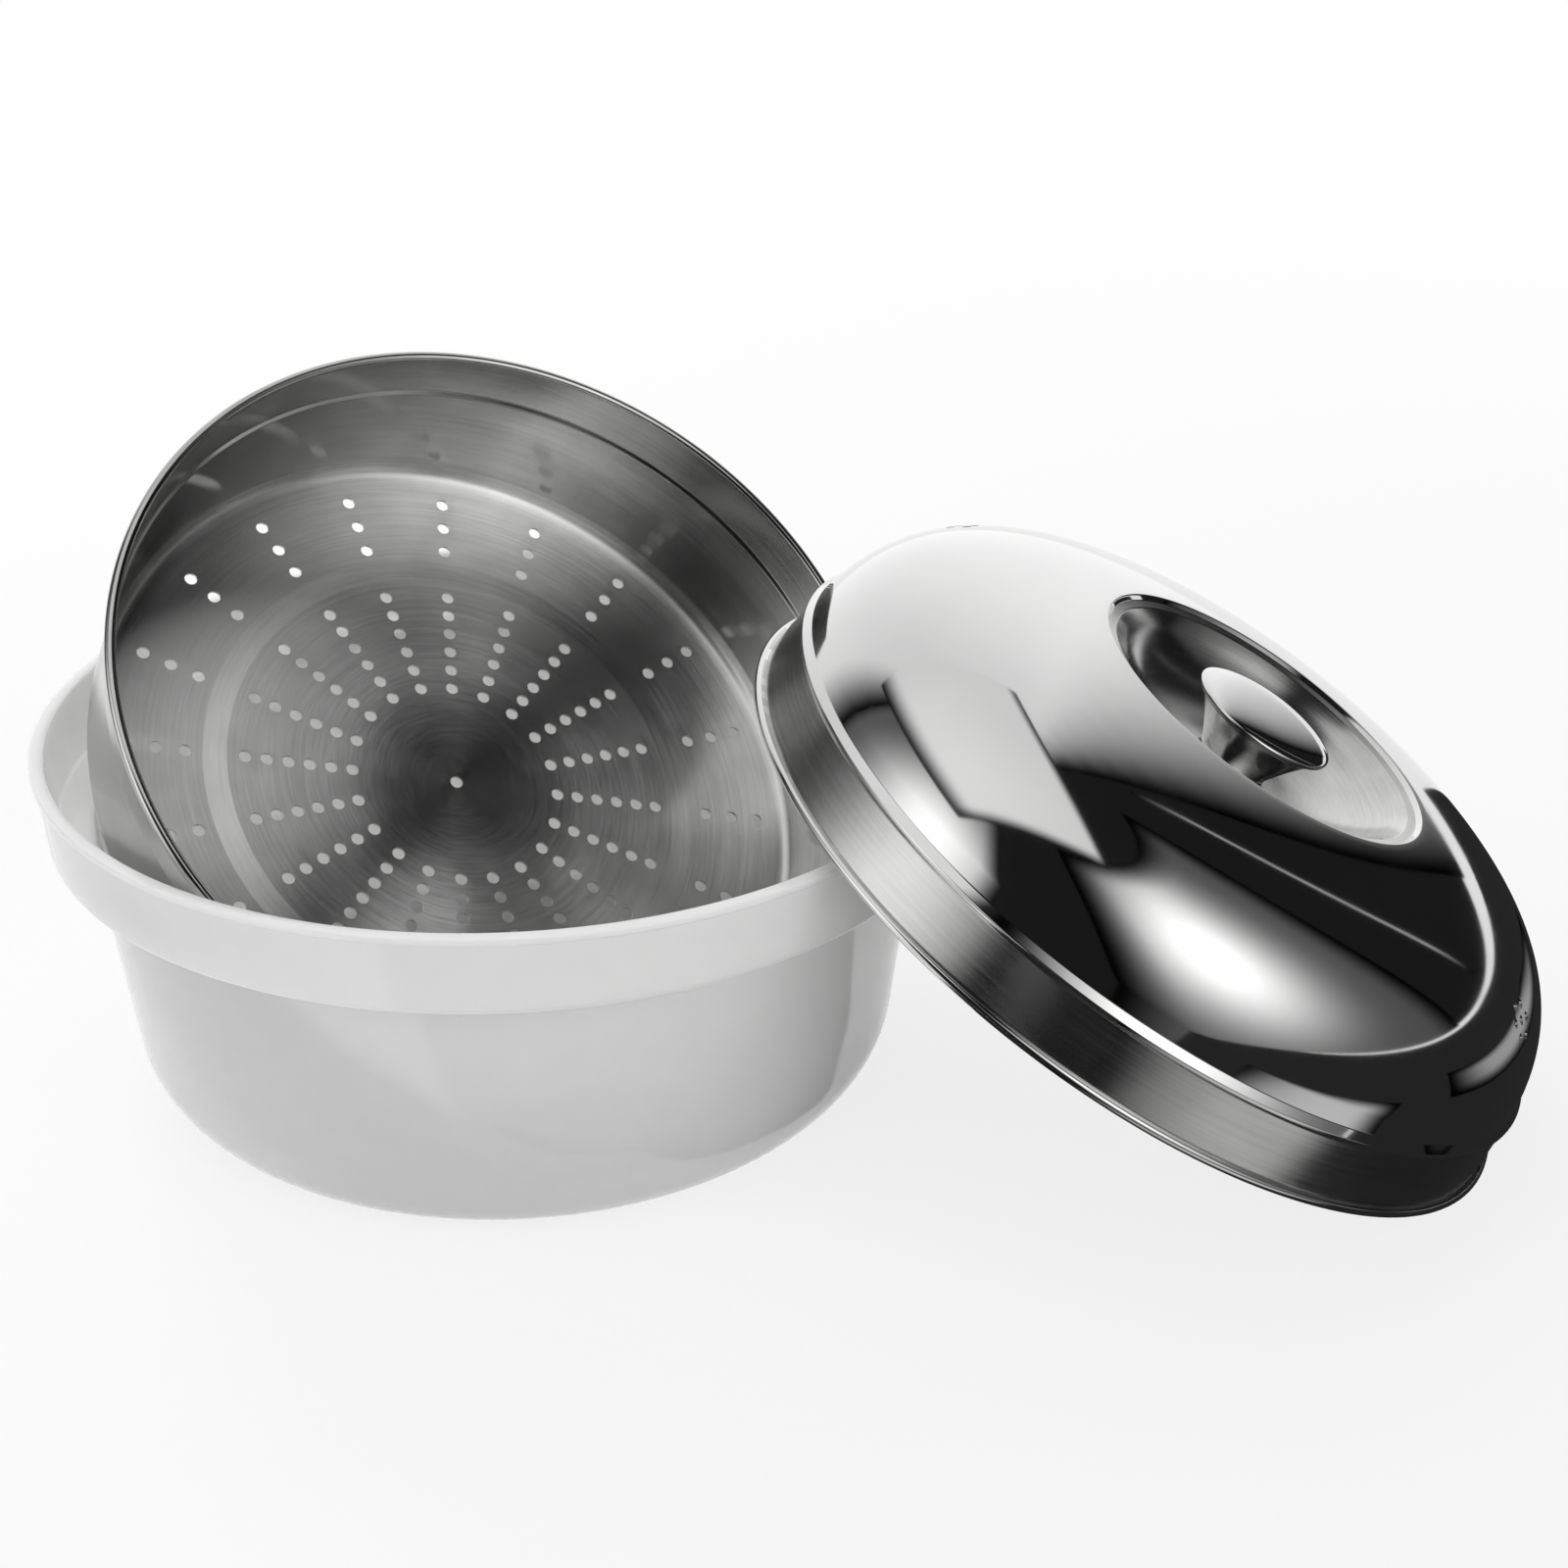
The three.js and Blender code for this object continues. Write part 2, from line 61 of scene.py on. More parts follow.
# %% Helpers for sections
MM = 0.001
ROUND_STEPS = 5
MOST_OF_HALF = 0.49


def bezier(places, steps):
    """Places along a Bezier curve, worked out from its control places."""
    share = np.linspace(0, 1, steps + 1)[:, None]
    degree = len(places) - 1
    return sum(
        math.comb(degree, i) * share**i * (1 - share) ** (degree - i) * np.array(place, float)
        for i, place in enumerate(places)
    )


def arc(centre, radius, start, end, steps):
    """Places along a circle in the section, between two angles in degrees."""
    angles = np.radians(np.linspace(start, end, steps + 1))
    return np.array(centre) + radius * np.column_stack([np.cos(angles), np.sin(angles)])


def rounded(corners):
    """A line through (radius, height, round) corners, with an arc in place of each rounded corner."""
    line = []
    for i, (radius, height, size) in enumerate(corners):
        here = np.array([radius, height])
        if size == 0:
            line.append(here)
            continue
        back = np.array(corners[i - 1][:2]) - here
        ahead = np.array(corners[i + 1][:2]) - here
        half = 0.5 * math.acos(np.dot(back, ahead) / np.linalg.norm(back) / np.linalg.norm(ahead))
        back_length, ahead_length = np.linalg.norm(back), np.linalg.norm(ahead)
        reach = min(size / math.tan(half), MOST_OF_HALF * back_length, MOST_OF_HALF * ahead_length)
        from_place = here + back / back_length * reach
        to_place = here + ahead / ahead_length * reach
        line.extend(bezier([from_place, here, to_place], ROUND_STEPS))
    return np.array(line)


def beside(line, thickness):
    """The other face of a sheet: the line moved to the right of its way by the sheet's thickness."""
    way = np.diff(line, axis=0)
    way /= np.linalg.norm(way, axis=1)[:, None]
    arriving = np.vstack([way[:1], way])
    leaving = np.vstack([way, way[-1:]])
    bisector = arriving + leaving
    bisector /= np.linalg.norm(bisector, axis=1)[:, None]
    reach = thickness / np.sum(bisector * arriving, axis=1)
    return line + np.column_stack([bisector[:, 1], -bisector[:, 0]]) * reach[:, None]


print("section helpers ready")

# %% [markdown]
# ## Turning a section into a mesh
# The section is swept round the axis in many small steps and the rings are joined by four-sided faces.
# A Screw modifier would do the same, but rings that are built directly need no modifier to be applied before
# the holes are punched.

# %% Helpers for turned meshes
SIDES = 192
ON_AXIS_MM = 1e-6
PUNCH_SIDES = 24
PUNCH_LENGTH = 6


def turned(section, closed):
    """A mesh of the section turned about Z. A place on the axis becomes one point."""
    shape = bmesh.new()
    angles = np.linspace(0, 2 * math.pi, SIDES, endpoint=False)
    rings = []
    for radius, height in section:
        if radius < ON_AXIS_MM:
            rings.append([shape.verts.new((0, 0, height))] * SIDES)
        else:
            ring = [(radius * math.cos(angle), radius * math.sin(angle), height) for angle in angles]
            rings.append([shape.verts.new(place) for place in ring])
    pairs = list(zip(rings, rings[1:]))
    if closed:
        pairs.append((rings[-1], rings[0]))
    for low, high in pairs:
        for i in range(SIDES):
            j = (i + 1) % SIDES
            corners = list(dict.fromkeys([low[i], low[j], high[j], high[i]]))
            if len(corners) > 2:
                shape.faces.new(corners)
    return shape


def to_object(name, shape):
    """An object in the scene that holds the mesh."""
    mesh = bpy.data.meshes.new(name)
    shape.to_mesh(mesh)
    shape.free()
    made = bpy.data.objects.new(name, mesh)
    bpy.context.scene.collection.objects.link(made)
    return made


def punched(piece, punches):
    """Cuts round punches out of a piece, each given as (diameter, place, direction)."""
    shape = bmesh.new()
    for diameter, place, direction in punches:
        turn = Vector(direction).to_track_quat("Z", "Y").to_matrix().to_4x4()
        bmesh.ops.create_cone(
            shape, cap_ends=True, segments=PUNCH_SIDES, radius1=diameter / 2, radius2=diameter / 2,
            depth=PUNCH_LENGTH, matrix=Matrix.Translation(place) @ turn,
        )
    tool = to_object(piece.name + "_punches", shape)
    cut = piece.modifiers.new("punched holes", "BOOLEAN")
    cut.object = tool
    cut.operation = "DIFFERENCE"
    cut.solver = "EXACT"
    evaluated = piece.evaluated_get(bpy.context.evaluated_depsgraph_get())
    mesh = bpy.data.meshes.new_from_object(evaluated)
    piece.modifiers.clear()
    piece.data = mesh
    bpy.data.objects.remove(tool)


print("turned meshes have", SIDES, "sides")

# %% [markdown]
# ## Setting a piece in its place
# A mesh is made upright in millimetres, then tipped as its vessel lies and moved until its box is centred on
# the box of the solid it stands for. The solid has fewer sides, so its box is a hair smaller, and the mesh is
# drawn in by that hair to stay inside it. Its points end up in the shared frame, so the object itself stays
# at the origin, as the solids do. Two things are stored at each point, and the finishes read them: own_place,
# its place in the upright piece in millimetres, and round_way, the way round the piece's axis there. So brush
# marks run round the axis however the piece lies. Sharp edges keep the shading crisp at folds and holes.

# %% Helpers for placing
SHARP_FOLD = math.radians(32)


def tipped(tilt, heading):
    """The turn that tips a piece's axis by tilt towards a heading, both in degrees."""
    return Matrix.Rotation(math.radians(heading), 4, "Z") @ Matrix.Rotation(math.radians(tilt), 4, "Y")


def crisp(piece):
    """Smooth faces, with every fold steeper than the limit kept sharp."""
    shape = bmesh.new()
    shape.from_mesh(piece.data)
    for face in shape.faces:
        face.smooth = True
    for edge in shape.edges:
        edge.smooth = len(edge.link_faces) == 2 and edge.calc_face_angle(0) < SHARP_FOLD
    shape.to_mesh(piece.data)
    shape.free()


def box_of(mesh):
    """The lowest and highest corner of a mesh."""
    places = np.array([vertex.co for vertex in mesh.vertices])
    return places.min(0), places.max(0)


def pose_on(piece, node, turn):
    """The matrix that tips a piece in mm and sets it in the box of a solid."""
    upright = piece.data.copy()
    upright.transform(turn @ Matrix.Scale(MM, 4))
    own_low, own_high = box_of(upright)
    bpy.data.meshes.remove(upright)
    low, high = (np.array(corner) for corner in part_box(node))
    fit = min(1, *((high - low) / (own_high - own_low)))
    shift = (low + high - fit * (own_low + own_high)) / 2
    return Matrix.Translation(Vector(shift)) @ turn @ Matrix.Scale(fit * MM, 4)


def settle(piece, node, body, pose):
    """Moves the piece's points into the shared frame and lets it stand for the solid."""
    mesh = piece.data
    own = np.array([vertex.co for vertex in mesh.vertices])
    around = np.column_stack([-own[:, 1], own[:, 0], 0 * own[:, 2]]) @ np.array(pose.to_3x3()).T
    for name, values in [("own_place", own), ("round_way", around)]:
        stored = mesh.attributes.new(name, "FLOAT_VECTOR", "POINT")
        stored.data.foreach_set("vector", values.astype(np.float32).ravel())
    mesh.transform(pose)
    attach(piece, body)
    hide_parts(node)
    off = max(np.abs(a - np.array(b)).max() for a, b in zip(box_of(mesh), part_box(node)))
    print(f"{piece.name}: {len(mesh.polygons)} faces, box within {off / MM:.2f} mm of {node}")


print("placing helpers ready")

# %% [markdown]
# ## The bowl
# The bowl is injection moulded: a cup whose wall leans out a little so that it leaves the mould, a step, and
# a wider collar that ends in a small turned-out lip. The wall is the same thickness all over, because plastic
# shrinks unevenly where it is thick. So the section goes up the outside, over the lip and down the inside.

# %% Bowl
BOWL_HEIGHT = 102
BOWL_RIM_RADIUS = 125
BOWL_WALL = 2.6
LIP_OVERHANG = 1.2
LIP_DEPTH = 1.7
COLLAR_TAPER = 1.7
COLLAR_DEPTH = 21.8
CUP_TOP_RADIUS = 112
CUP_DRAFT = 7.4
CUP_CORNER = 23.4
CORNER_STEPS = 16
WALL_BELOW_STEP = 12

collar_top = BOWL_RIM_RADIUS - LIP_OVERHANG
collar_foot = collar_top - COLLAR_TAPER
step_height = BOWL_HEIGHT - COLLAR_DEPTH
ledge_height = step_height + BOWL_WALL
lean = math.tan(math.radians(CUP_DRAFT))
across = 1 / math.cos(math.radians(CUP_DRAFT))


def cup_wall(height, inset):
    """The cup wall's radius at a height, set in from the outside by a part of its thickness."""
    return CUP_TOP_RADIUS - lean * (step_height - height) - inset * across


def cup_corner(floor, size, inset):
    """The arc between the floor and the wall, from the floor up."""
    height = floor + size
    centre = (cup_wall(height, inset) - size * across, height)
    return arc(centre, size, -90, -CUP_DRAFT, CORNER_STEPS)


bowl_outside = rounded([
    (cup_wall(step_height - WALL_BELOW_STEP, 0), step_height - WALL_BELOW_STEP, 0),
    (cup_wall(step_height, 0), step_height, 1.0),
    (collar_foot, step_height, 1.6),
    (collar_top, BOWL_HEIGHT - LIP_DEPTH - LIP_OVERHANG / 2, 0.5),
    (BOWL_RIM_RADIUS, BOWL_HEIGHT - LIP_DEPTH, 0.45),
    (BOWL_RIM_RADIUS, BOWL_HEIGHT, 0.7),
    (collar_top - BOWL_WALL, BOWL_HEIGHT, 0.5),
    (collar_foot - BOWL_WALL, ledge_height, 1.0),
    (cup_wall(ledge_height, BOWL_WALL), ledge_height, 1.2),
    (cup_wall(ledge_height - WALL_BELOW_STEP, BOWL_WALL), ledge_height - WALL_BELOW_STEP, 0),
])
bowl_section = np.vstack([
    [(0, 0)],
    cup_corner(0, CUP_CORNER, 0),
    bowl_outside,
    cup_corner(BOWL_WALL, CUP_CORNER - BOWL_WALL, BOWL_WALL)[::-1],
    [(0, BOWL_WALL)],
])
bowl = to_object("moulded_bowl", turned(bowl_section, closed=False))
crisp(bowl)
settle(bowl, "bowl", "bowl", Matrix.Scale(MM, 4))

# %% [markdown]
# ## The steamer tray
# The tray is pressed from one disc of stainless sheet. The press leaves a round corner, a step in the wall
# that stiffens it, a raised disc in the floor and a rolled rim with no raw edge. Then the floor is punched:
# twenty rows, each with six small-pitch holes on the disc and three wider ones outside it, and a hole in the
# centre. The holes are real cuts, so that light and the bowl show through them.

# %% Tray
TRAY_SHEET = 0.7
TRAY_RIM_RADIUS = 110.1
TRAY_HEIGHT = 52.8
TRAY_CURL = 1.5
TRAY_BEAD_HEIGHT = 38
TRAY_BEAD_STEP = 1
TRAY_COLLAR_FLARE = 0.6
TRAY_WALL_FLARE = 2.6
TRAY_CORNER = 5
DISC_RISE = 0.8
DISC_RADIUS = 65.4
DISC_SLOPE_WIDTH = 6.5
HOLE_DIAMETER = 3.6
HOLE_ROWS = 20
INNER_START, INNER_PITCH, INNER_HOLES = 30.2, 6.03, 6
OUTER_START, OUTER_PITCH, OUTER_HOLES = 76.6, 8.09, 3
TRAY_HOLE_TURN = 154.5
TRAY_TILT = 41.2
TRAY_HEADING = -50.9
CURL_STEPS = 18

curl_centre = (TRAY_RIM_RADIUS - TRAY_CURL, TRAY_HEIGHT - TRAY_CURL)
collar_radius = curl_centre[0] - TRAY_CURL
shelf_radius = collar_radius - TRAY_COLLAR_FLARE
wall_top = shelf_radius - TRAY_BEAD_STEP
wall_foot = wall_top - TRAY_WALL_FLARE
disc_height = TRAY_SHEET + DISC_RISE
tray_inside = rounded([
    (0, disc_height, 0),
    (DISC_RADIUS, disc_height, 4),
    (DISC_RADIUS + DISC_SLOPE_WIDTH, TRAY_SHEET, 4),
    (wall_foot, TRAY_SHEET, TRAY_CORNER),
    (wall_top, TRAY_BEAD_HEIGHT - TRAY_BEAD_STEP, 0.8),
    (shelf_radius, TRAY_BEAD_HEIGHT, 0.8),
    (collar_radius, curl_centre[1], 0),
])
tray_outside = beside(tray_inside, TRAY_SHEET)
tray_outside[0, 0] = 0
tray_outside[-1, 1] -= TRAY_CURL
curl = arc(curl_centre, TRAY_CURL, -90, 180, CURL_STEPS)
tray_section = np.vstack([tray_outside, curl, tray_inside[-2::-1]])
tray = to_object("pressed_tray", turned(tray_section, closed=False))
hole_radii = [INNER_START + INNER_PITCH * i for i in range(INNER_HOLES)]
hole_radii += [OUTER_START + OUTER_PITCH * i for i in range(OUTER_HOLES)]
holes = [(HOLE_DIAMETER, (0, 0, disc_height), (0, 0, 1))]
for row in range(HOLE_ROWS):
    angle = math.radians(TRAY_HOLE_TURN + 360 * row / HOLE_ROWS)
    for radius in hole_radii:
        place = (radius * math.cos(angle), radius * math.sin(angle), TRAY_SHEET)
        holes.append((HOLE_DIAMETER, place, (0, 0, 1)))
punched(tray, holes)
crisp(tray)
tray_pose = pose_on(tray, "steamer_tray", tipped(TRAY_TILT, TRAY_HEADING))
settle(tray, "steamer_tray", "tray", tray_pose)
print("holes in the tray:", len(holes))

# %% [markdown]
# ## The lid
# The lid is drawn from stainless sheet too: a rolled lip, a nearly upright skirt, a narrow ledge, a dome, and
# a sunken well for the knob. The dome's form is what the eye reads in its reflections, so it is one Bezier
# curve without a kink. The edge of the well is a tight roll with a narrow shoulder inside it. The steam vents
# are punched square to the sheet: two clusters low on the dome and one hole in the well.

# %% Lid
LID_SHEET = 0.7
LID_LIP_RADIUS = 117
LID_LIP_BEAD = 1.2
SKIRT_INSET = 2.1
SKIRT_TAPER = 1.8
LEDGE_HEIGHT = 17.3
LEDGE_WIDTH = 0.9
LEDGE_DEPTH = 0.9
DOME_SETBACK = 1.6
DOME_FOOT_RISE = 2
DOME_TOP_HEIGHT = 61.5
DOME_LEAN_IN = 5
DOME_SIDE_RISE = 23.7
DOME_CROWN_REACH = 40.9
DOME_CROWN_DROP = 3.6
WELL_RADIUS = 49
WELL_DEPTH = 15
SHOULDER_DROP = 1.1
SHOULDER_WIDTH = 2.4
SHOULDER_FALLS = (1.0, 1.5, 3.4)
DISH_FULLNESS = 0.52
SEAT_RADIUS = 14
SCREW_BORE = 2.7
LID_TILT = 31.8
LID_HEADING = -4.6
DOME_STEPS = 48
DOME_START = 3
DISH_STEPS = 20

skirt_foot = LID_LIP_RADIUS - SKIRT_INSET
skirt_top = skirt_foot - SKIRT_TAPER
ledge_radius = skirt_top + LEDGE_WIDTH
ledge_top = LEDGE_HEIGHT + LEDGE_DEPTH
dome_foot = (ledge_radius - DOME_SETBACK, ledge_top + DOME_FOOT_RISE)
seat_height = DOME_TOP_HEIGHT - WELL_DEPTH
dome = bezier([
    dome_foot,
    (dome_foot[0] - DOME_LEAN_IN, dome_foot[1] + DOME_SIDE_RISE),
    (WELL_RADIUS + DOME_CROWN_REACH, DOME_TOP_HEIGHT - DOME_CROWN_DROP),
    (WELL_RADIUS, DOME_TOP_HEIGHT),
], DOME_STEPS)
skirt = rounded([
    (skirt_foot, LID_LIP_BEAD, 0),
    (skirt_top, LEDGE_HEIGHT - LEDGE_WIDTH, 0.6),
    (ledge_radius, LEDGE_HEIGHT, 0.5),
    (ledge_radius, ledge_top, 0.5),
    (*dome_foot, 1.0),
    (*dome[DOME_START], 0),
])
shoulder_radius = WELL_RADIUS - SHOULDER_DROP
shoulder_heights = [DOME_TOP_HEIGHT - fall * SHOULDER_DROP for fall in SHOULDER_FALLS]
shoulder = rounded([
    (*dome[-2], 0),
    (WELL_RADIUS, DOME_TOP_HEIGHT, 0.8),
    (shoulder_radius, shoulder_heights[0], 0.6),
    (shoulder_radius - SHOULDER_WIDTH, shoulder_heights[1], 1.2),
    (shoulder_radius - 2 * SHOULDER_WIDTH, shoulder_heights[2], 0),
])
dish = bezier([
    shoulder[-1],
    (DISH_FULLNESS * (WELL_RADIUS + SEAT_RADIUS), seat_height),
    (SEAT_RADIUS, seat_height),
], DISH_STEPS)
lid_outside = np.vstack([skirt[:-1], dome[DOME_START:-2], shoulder[:-1], dish, [(SCREW_BORE, seat_height)]])
lid_inside = beside(lid_outside, -LID_SHEET)
lid_inside[0, 1] = 0
bead = arc((LID_LIP_RADIUS - LID_LIP_BEAD, 0), LID_LIP_BEAD, -180, 90, CURL_STEPS)
lid = to_object("pressed_lid", turned(np.vstack([bead, lid_outside, lid_inside[::-1]]), closed=True))
print("lid section has", len(lid_outside), "places on its outside")

# %% Lid vents
WELL_VENT_DIAMETER = 4
WELL_VENT_RADIUS = 26
WELL_VENT_AZIMUTH = 181.5
DOME_VENT_DIAMETER = 2.6
DOME_VENT_RADIUS = 98.6
DOME_VENT_RING_STEP = 3
DOME_VENT_SPACING = 4.6
DOME_VENT_RINGS = [2, 3, 2]
DOME_VENT_AZIMUTHS = [-29.5, 150.5]


def vent(diameter, radius, azimuth):
    """A punch through the lid at a radius and an azimuth in degrees, square to the sheet."""
    i = np.flatnonzero(lid_outside[:, 0] >= radius)[-1]
    outer, inner = lid_outside[i], lid_outside[i + 1]
    slope = (outer[1] - inner[1]) / (outer[0] - inner[0])
    place = Vector((radius, 0, inner[1] + slope * (radius - inner[0])))
    turn = Matrix.Rotation(math.radians(azimuth), 3, "Z")
    return diameter, turn @ place, turn @ Vector((-slope, 0, 1))


vents = [vent(WELL_VENT_DIAMETER, WELL_VENT_RADIUS, WELL_VENT_AZIMUTH)]
for azimuth in DOME_VENT_AZIMUTHS:
    for ring, count in enumerate(DOME_VENT_RINGS):
        radius = DOME_VENT_RADIUS + (ring - 1) * DOME_VENT_RING_STEP
        for i in range(count):
            swing = math.degrees((i - (count - 1) / 2) * DOME_VENT_SPACING / radius)
            vents.append(vent(DOME_VENT_DIAMETER, radius, azimuth + swing))
punched(lid, vents)
crisp(lid)
lid_pose = pose_on(lid, "lid_shell", tipped(LID_TILT, LID_HEADING))
settle(lid, "lid_shell", "lid", lid_pose)
print("vents in the lid:", len(vents))

# %% [markdown]
# ## The knob
# The knob is turned from solid steel and polished: a thin cap that is nearly flat on top and rounds off at
# its shoulder, on a stem that widens like a trumpet, so that fingers can hook under it. The shoulder runs
# into the edge without a kink, because a mirror shows every kink. A screw and a washer hold the knob from
# under the lid. They hardly show, but they make it stay on, and they are seen when the lid is lifted.

# %% Knob
SEAT_GAP = 0.3
KNOB_RADIUS = 20
KNOB_CAP_EDGE = 1.6
KNOB_CAP_CROWN = 2.2
KNOB_CAP_SHOULDER = 3.7
KNOB_HEIGHT = 16.9
KNOB_FOOT_RADIUS = 10
KNOB_FOOT_HEIGHT = 0.5
KNOB_FLARE_SPREAD = 4.5
KNOB_FLARE_DEPTH = 4
KNOB_FLARE_EDGE = 0.4
KNOB_FLARE_INSET = 1.8
SCREW_RADIUS = 2.4
SCREW_REACH = 9
SCREW_HEAD_RADIUS = 4.6
SCREW_HEAD_HEIGHT = 2.8
WASHER_RADIUS = 7
WASHER_SHEET = 1
CAP_EDGE_STEPS = 10
CAP_CROWN_STEPS = 24
FLARE_STEPS = 18

knob_foot = seat_height + SEAT_GAP
cap_underside = knob_foot + KNOB_HEIGHT - KNOB_CAP_EDGE - KNOB_CAP_CROWN
cap_top = knob_foot + KNOB_HEIGHT
edge_round = KNOB_CAP_EDGE / 2
edge_centre = (KNOB_RADIUS - edge_round, cap_underside + edge_round)
shoulder_fall = math.degrees(math.atan2(KNOB_CAP_CROWN, KNOB_CAP_SHOULDER))
cap_edge = arc(edge_centre, edge_round, -90, 90 - shoulder_fall, CAP_EDGE_STEPS)
crown_corner = (edge_centre[0] - KNOB_CAP_SHOULDER, cap_top)
cap_crown = bezier([cap_edge[-1], crown_corner, (0, cap_top)], CAP_CROWN_STEPS)
cap_section = np.vstack([[(0, cap_underside)], cap_edge, cap_crown[1:]])
stem_top = cap_underside - SEAT_GAP
flare_radius = KNOB_RADIUS - KNOB_FLARE_INSET
bore_top = knob_foot + SCREW_REACH + SEAT_GAP
stem_section = np.vstack([
    [(SCREW_BORE, knob_foot), (KNOB_FOOT_RADIUS, knob_foot)],
    bezier([
        (KNOB_FOOT_RADIUS, knob_foot + KNOB_FOOT_HEIGHT),
        (KNOB_FOOT_RADIUS + KNOB_FLARE_SPREAD, stem_top - KNOB_FLARE_DEPTH),
        (flare_radius, stem_top - KNOB_FLARE_EDGE),
    ], FLARE_STEPS),
    [(flare_radius, stem_top), (0, stem_top), (0, bore_top), (SCREW_BORE, bore_top)],
])
washer_top = seat_height - LID_SHEET - SEAT_GAP
washer_section = rounded([
    (SCREW_BORE, washer_top - WASHER_SHEET, 0),
    (WASHER_RADIUS, washer_top - WASHER_SHEET, 0.15),
    (WASHER_RADIUS, washer_top, 0.15),
    (SCREW_BORE, washer_top, 0),
])
head_top = washer_top - WASHER_SHEET - SEAT_GAP
screw_section = rounded([
    (0, head_top - SCREW_HEAD_HEIGHT, 0),
    (SCREW_HEAD_RADIUS, head_top - SCREW_HEAD_HEIGHT, 1.6),
    (SCREW_HEAD_RADIUS, head_top, 0.15),
    (SCREW_RADIUS, head_top, 0),
    (SCREW_RADIUS, knob_foot + SCREW_REACH, 0.3),
    (0, knob_foot + SCREW_REACH, 0),
])
knob_pieces = [
    ("turned_knob_cap", "knob_cap", cap_section, False, "polished_stainless"),
    ("turned_knob_stem", "knob_stem", stem_section, True, "polished_stainless"),
    ("fixing_screw", "knob_screw", screw_section, False, "plated_steel"),
    ("fixing_washer", "knob_washer", washer_section, True, "plated_steel"),
]
for name, node, section, closed, slot in knob_pieces:
    piece = to_object(name, turned(section, closed))
    crisp(piece)
    settle(piece, node, "lid", lid_pose)

# %% [markdown]
# ## How the finishes are written
# Colours are chosen as sRGB hex values, as a paint chart gives them, and turned to the linear values that
# light is added up in. One helper adds a node with its settings and its links, so each finish below reads as
# a short list. Every finish starts from own_place, the point's place in its own piece in millimetres: a noise
# read at own_place divided by 3 then has features of about 3 mm.

# %% Helpers for finishes


def linear(colour):
    """A hex colour as linear red, green, blue and full opacity."""
    shares = [int(colour[i:i + 2], 16) / 255 for i in (1, 3, 5)]
    return [s / 12.92 if s <= 0.04045 else ((s + 0.055) / 1.055) ** 2.4 for s in shares] + [1]


def add(tree, kind, inputs, **settings):
    """A node with its settings; an input is a value, or a socket to link from."""
    made = tree.nodes.new(kind)
    for name, value in settings.items():
        setattr(made, name, value)
    for name, value in inputs.items():
        if isinstance(value, bpy.types.NodeSocket):
            tree.links.new(value, made.inputs[name])
        else:
            made.inputs[name].default_value = value
    return made


def new_finish(name):
    """An empty node tree for a material."""
    material = bpy.data.materials.new(name)
    material.use_nodes = True
    material.node_tree.nodes.clear()
    return material, material.node_tree


def finish_with(tree, surface):
    """Links a shader to the material's output."""
    add(tree, "ShaderNodeOutputMaterial", {"Surface": surface})


print("white as linear:", [round(value, 3) for value in linear("#f0f0ee")])

# %% [markdown]
# ## White polypropylene
# Polypropylene is a milky plastic that is moulded against polished steel, so it comes out glossy but never
# quite flat: the skin ripples a little as it cools, over about 14 mm. Light sinks in by some millimetres and
# passes through the thin wall, so the inside of the bowl glows softly and shows white through the tray's
# holes. IOR is 1.49. The eye sees a clean white with broad soft highlights that waver a little.

# %% Bowl finish
RIPPLE_MM = 14
RIPPLE_DEPTH_MM = 0.03
SKIN_MM = 2.5
SKIN_DEPTH_MM = 0.004
NOISE_MIDDLE = (0.3, 0.7)
MILK_DEPTH_MM = 10
white_pp, tree = new_finish("white polypropylene, moulded")
place = add(tree, "ShaderNodeAttribute", {}, attribute_name="own_place").outputs["Vector"]
ripple_at = add(tree, "ShaderNodeVectorMath", {0: place, "Scale": 1 / RIPPLE_MM}, operation="SCALE")
ripple = add(tree, "ShaderNodeTexNoise", {"Vector": ripple_at.outputs[0], "Scale": 1.0, "Detail": 2.0})
skin_at = add(tree, "ShaderNodeVectorMath", {0: place, "Scale": 1 / SKIN_MM}, operation="SCALE")
skin = add(tree, "ShaderNodeTexNoise", {"Vector": skin_at.outputs[0], "Scale": 1.0, "Detail": 3.0})
tint = add(
    tree, "ShaderNodeMix", {"Factor": ripple.outputs["Fac"], "A": linear("#ececec"), "B": linear("#f3f3f2")},
    data_type="RGBA",
)
gloss = add(tree, "ShaderNodeMapRange", {
    "Value": skin.outputs["Fac"],
    "From Min": NOISE_MIDDLE[0],
    "From Max": NOISE_MIDDLE[1],
    "To Min": 0.07,
    "To Max": 0.12,
})
wave = add(tree, "ShaderNodeBump", {
    "Height": ripple.outputs["Fac"], "Distance": RIPPLE_DEPTH_MM * MM, "Strength": 0.4,
})
peel = add(tree, "ShaderNodeBump", {
    "Height": skin.outputs["Fac"],
    "Distance": SKIN_DEPTH_MM * MM,
    "Strength": 0.5,
    "Normal": wave.outputs["Normal"],
})
shader = add(tree, "ShaderNodeBsdfPrincipled", {
    "Base Color": tint.outputs["Result"],
    "Roughness": gloss.outputs["Result"],
    "Normal": peel.outputs["Normal"],
    "IOR": 1.49,
    "Subsurface Weight": 1.0,
    "Subsurface Radius": (1.0, 1.0, 0.97),
    "Subsurface Scale": MILK_DEPTH_MM * MM,
})
finish_with(tree, shader.outputs["BSDF"])
bowl.data.materials.append(white_pp)
print("bowl finish:", white_pp.name)

